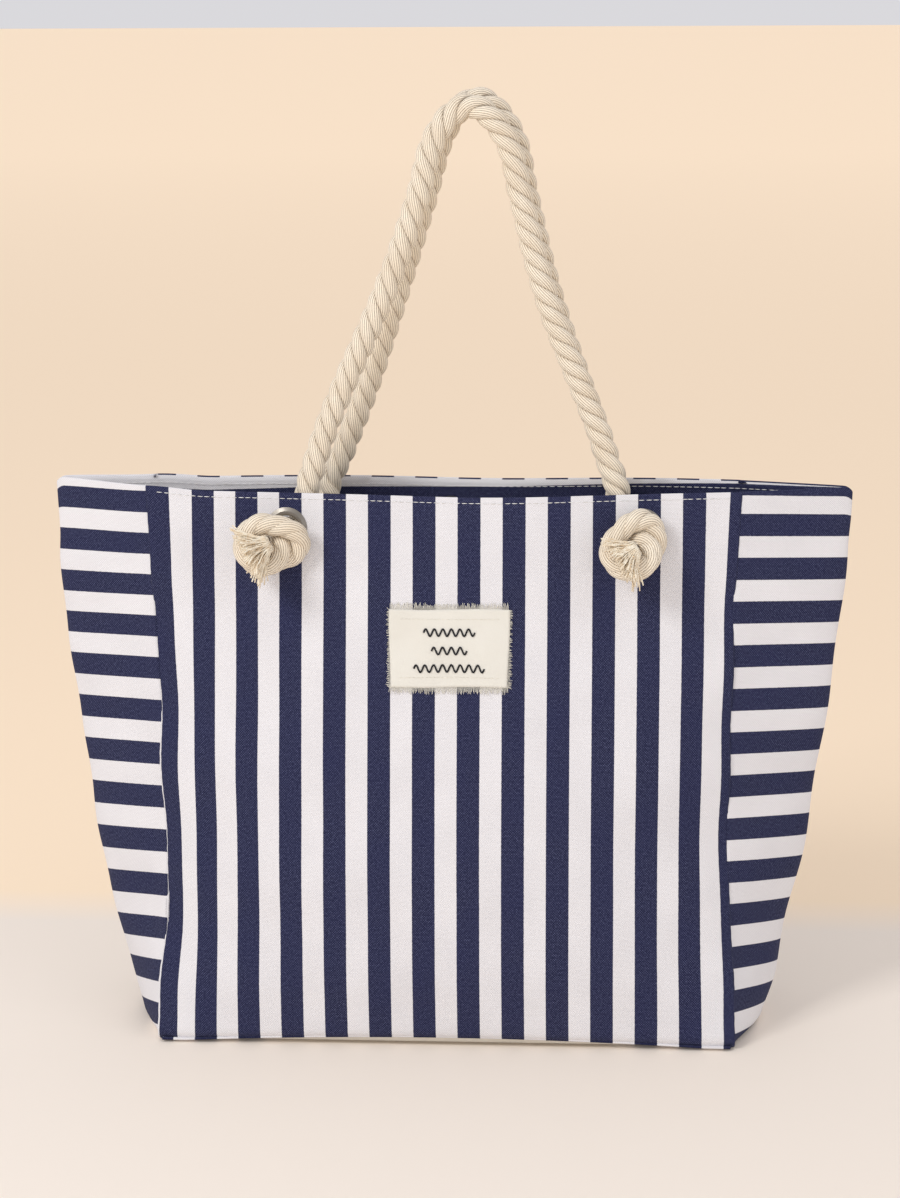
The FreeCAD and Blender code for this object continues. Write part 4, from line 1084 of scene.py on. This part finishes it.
def make_tuft(name, path, heading, reach, seed):
    """Loose yarns that fan out of a rope's cut end in front of its knot."""
    draw = np.random.default_rng(seed)
    heading = unit(np.array(heading))
    side = unit(np.cross(heading, UP + 0.01))
    above = np.cross(heading, side)
    out = np.array([0.0, math.copysign(1.0, path[0, 1]), 0.0])
    tip = path[0] + out * 6.5 * MM
    sheet = Pieces()
    for _ in range(TUFT_YARNS):
        distance = math.sqrt(draw.uniform(0, 1))
        angle = draw.uniform(0, 2 * math.pi)
        spoke = side * math.cos(angle) + above * math.sin(angle)
        root = tip + spoke * distance * 4.5 * MM - heading * 5 * MM
        length = reach * draw.uniform(0.75, 1.05)
        run = np.linspace(0, 1, 8)[:, None]
        flare = distance * draw.uniform(0.6, 1.05)
        wander = draw.normal(0, 0.07, 3)
        fan = heading * run * (1 - 0.2 * run) + spoke * flare * run ** 1.3
        line = root + length * (fan + (wander - 0.2 * UP) * run ** 2)
        line += 0.3 * MM * np.sin(run * draw.uniform(8, 16) + draw.uniform(0, 6, 3))
        beyond = np.clip(np.abs(line[:, 1]) - TUFT_DEPTH, 0, None)
        line[:, 1] -= out[1] * 0.7 * beyond
        sheet.tube(line, draw.uniform(0.38, 0.58) * MM, 5)
    sheet.make(name, TUFT)


def make_handle(which, knot):
    """A handle rope with its two knots, bending at the rim between bag and handle."""
    node = which + "_handle_rope"
    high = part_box(node)[1].z
    left, right = leg_centres(node, np.linspace(RISE + 6 * MM, RISE + 215 * MM, 10))
    crown = [*box_middle(section(node, high - 2 * MM)[:, :2]), high - ROPE_RADIUS]
    ends = [end_path(which + hand, knot) for hand in ("_left", "_right")]
    course = np.concatenate([ends[0], left, [crown], right[::-1], ends[1][::-1]])
    path = smooth_path(course, 1.3 * MM)
    tightness = eased(path[:, 2], RISE - 22 * MM, RISE - 6 * MM)
    rope = Pieces()
    strand_rope(rope, path, KNOT_SQUEEZE + (1 - KNOT_SQUEEZE) * tightness, 1 - tightness)
    nodes = [node, which + "_left_rope_end", which + "_right_rope_end"]
    piece = rope.make(which + "_rope", ROPE, nodes, body=None)
    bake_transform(piece)
    return path


def make_ropes():
    knot = tight_overhand()
    for which in ("front", "back"):
        path = make_handle(which, knot)
        out = math.copysign(1.0, path[0, 1])
        make_tuft(which + "_left_tuft", path, (0.9 * out, 0.2 * out, -0.42), 20 * MM, 3)
        make_tuft(which + "_right_tuft", path[::-1], (0.85 * out, 0.2 * out, -0.6), 16.5 * MM, 4)


# ---- pocket and zip ----


def make_pocket():
    low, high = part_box("pocket_panel")
    x = np.linspace(low.x, high.x, 61)[None]
    z = np.linspace(low.z, high.z, 45)[:, None]
    foot, head = (
        section("pocket_panel", level)[:, 1].min() for level in (low.z + 1 * MM, high.z - 1 * MM)
    )

    def front_y(level):
        return foot + (head - foot) * ((level - low.z) / (high.z - low.z))

    edge = np.minimum(np.minimum(x - low.x, high.x - x), np.minimum(z - low.z, high.z - z))
    bag = 1.4 * MM * eased(edge, 2 * MM, 25 * MM) * (1 + 0.6 * ripples(x, z, 90, 0.03, 0.09))
    points = np.stack(np.broadcast_arrays(x, front_y(z) - bag, z), -1)
    coords = points[..., [0, 2]]
    make_cloth("pocket_cloth", LINING, "pocket_panel", POCKET_CLOTH, points, coords)
    sewing = Pieces()
    inset = 3 * MM
    left, right = low.x + inset, high.x - inset
    bottom, top = low.z + inset, high.z - inset
    corners = [(left, top), (left, bottom), (right, bottom), (right, top)]
    for (from_x, from_z), (to_x, to_z) in zip(corners[:-1], corners[1:]):
        line_z = np.linspace(from_z, to_z, 60)
        path = np.column_stack([np.linspace(from_x, to_x, 60), front_y(line_z) - 0.05 * MM, line_z])
        sewn_row(sewing, path, np.tile([0.0, -1.0, 0.0], (60, 1)), 0.22 * MM, 3.4 * MM, 2.6 * MM)
    sewing.make("pocket_topstitch", SEWING)


def make_zip():
    for node in ("zip_upper_coil", "zip_lower_coil"):
        low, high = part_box(node)
        radius = min(high.y - low.y, high.z - low.z) / 2
        count = int((high.x - low.x) / (1.5 * MM))
        turn = np.linspace(0, 2 * math.pi * count, 12 * count)
        path = np.column_stack([
            low.x + (high.x - low.x) * turn / turn[-1],
            (low.y + high.y) / 2 + (radius - 0.3 * MM) * np.cos(turn),
            (low.z + high.z) / 2 + (radius - 0.3 * MM) * np.sin(turn),
        ])
        coil = Pieces()
        coil.tube(path, 0.3 * MM, 5)
        coil.make(node.replace("zip_", "") + "_teeth", ZIP_COIL, [node])


# ---- finish for the CAD pieces that stay ----


def dress_cad_nodes():
    finishes = {"_tape": ZIP_TAPE}
    for name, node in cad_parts.items():
        if node.hide_render:
            continue
        material = next((finish for part, finish in finishes.items() if part in name), NICKEL)
        node.data.materials.clear()
        node.data.materials.append(material)
        node.data.polygons.foreach_set("use_smooth", [True] * len(node.data.polygons))
        node.data.set_sharp_from_angle(angle=math.radians(35))


# ---- stage, light and camera ----


TABLE_PALE = colour(240, 229, 217)
WALL_PEACH = (1.0, 0.80, 0.585, 1.0)
TABLE_GLOW = (1.0, 0.84, 0.68, 1.0)
STUDIO_WHITE = colour(252, 251, 255)
FLOOR_SIZE = 24
FLOOR_BACK = 4
BAG_MIDDLE = (0, 0, 0.25)


def make_stage():
    """One big floor: the table near the bag, and a peach wall colour further back."""
    bpy.ops.mesh.primitive_plane_add(size=FLOOR_SIZE, location=(0, FLOOR_BACK, -0.4 * MM))
    floor = bpy.context.object
    floor.name = "floor"
    shader = Shader("floor", Roughness=0.9)
    depth = shader.parts(shader.place())[1]
    far = shader.spread(depth, 0.17 - FLOOR_BACK, 0.24 - FLOOR_BACK, 0.0, 1.0)
    shader.set("Base Color", shader.blend(far, TABLE_PALE, WALL_PEACH))
    shader.set("Emission Color", shader.blend(far, TABLE_GLOW, WALL_PEACH))
    glow = shader.spread(depth, 0.2 - FLOOR_BACK, 7.0 - FLOOR_BACK, 0.055, 0.235)
    shader.set("Emission Strength", glow)
    floor.data.materials.append(shader.material)
    world = bpy.data.worlds.new("studio")
    bpy.context.scene.world = world
    world.use_nodes = True
    background = world.node_tree.nodes["Background"]
    background.inputs["Color"].default_value = STUDIO_WHITE
    background.inputs["Strength"].default_value = 0.72


def make_light(name, place, size, power):
    lamp = bpy.data.lights.new(name, "AREA")
    lamp.shape = "SQUARE"
    lamp.size = size
    lamp.energy = power
    light = bpy.data.objects.new(name, lamp)
    bpy.context.scene.collection.objects.link(light)
    light.location = place
    light.rotation_euler = (Vector(BAG_MIDDLE) - Vector(place)).to_track_quat("-Z", "Y").to_euler()


CAMERA_AIM = Vector((0.9 * MM, 0, 275.7 * MM))
CAMERA_TURN = math.radians(3.8)
CAMERA_HEIGHT = math.radians(12.6)
CAMERA_ROLL = math.radians(-0.4)
CAMERA_DISTANCE = 2.0
CAMERA_LENS = 94.3


def make_camera():
    """The camera stands a little to the right and looks down at the bag."""
    level = math.cos(CAMERA_HEIGHT)
    back = Vector((
        math.sin(CAMERA_TURN) * level, -math.cos(CAMERA_TURN) * level, math.sin(CAMERA_HEIGHT)
    ))
    data = bpy.data.cameras.new("camera")
    data.lens = CAMERA_LENS
    data.clip_start, data.clip_end = 0.05, 60
    camera = bpy.data.objects.new("camera", data)
    bpy.context.scene.collection.objects.link(camera)
    camera.rotation_mode = "QUATERNION"
    camera.location = CAMERA_AIM + back * CAMERA_DISTANCE
    roll = Matrix.Rotation(CAMERA_ROLL, 3, "Z")
    camera.rotation_quaternion = ((-back).to_track_quat("-Z", "Y").to_matrix() @ roll).to_quaternion()
    bpy.context.scene.camera = camera


make_panel(-1, "front_canvas", PANEL_CANVAS, "front_panel", FRONT_SEED)
make_panel(1, "back_canvas", BACK_CANVAS, "back_panel", BACK_SEED)
make_gusset(-1, "left_gusset_canvas", LEFT_CANVAS, "left_gusset", 21)
make_gusset(1, "right_gusset_canvas", RIGHT_CANVAS, "right_gusset", 22)
make_base()
make_facing(-1, "front_band", "front_facing")
make_facing(1, "back_band", "back_facing")
make_lining()
make_stitching()
make_label()
make_ropes()
make_pocket()
make_zip()
dress_cad_nodes()
make_stage()
make_light("key", (-1.5, -1.9, 1.9), 0.9, 34)
make_light("fill", (1.9, -1.6, 0.9), 1.6, 8)
make_camera()
bpy.context.scene.view_settings.view_transform = "Standard"
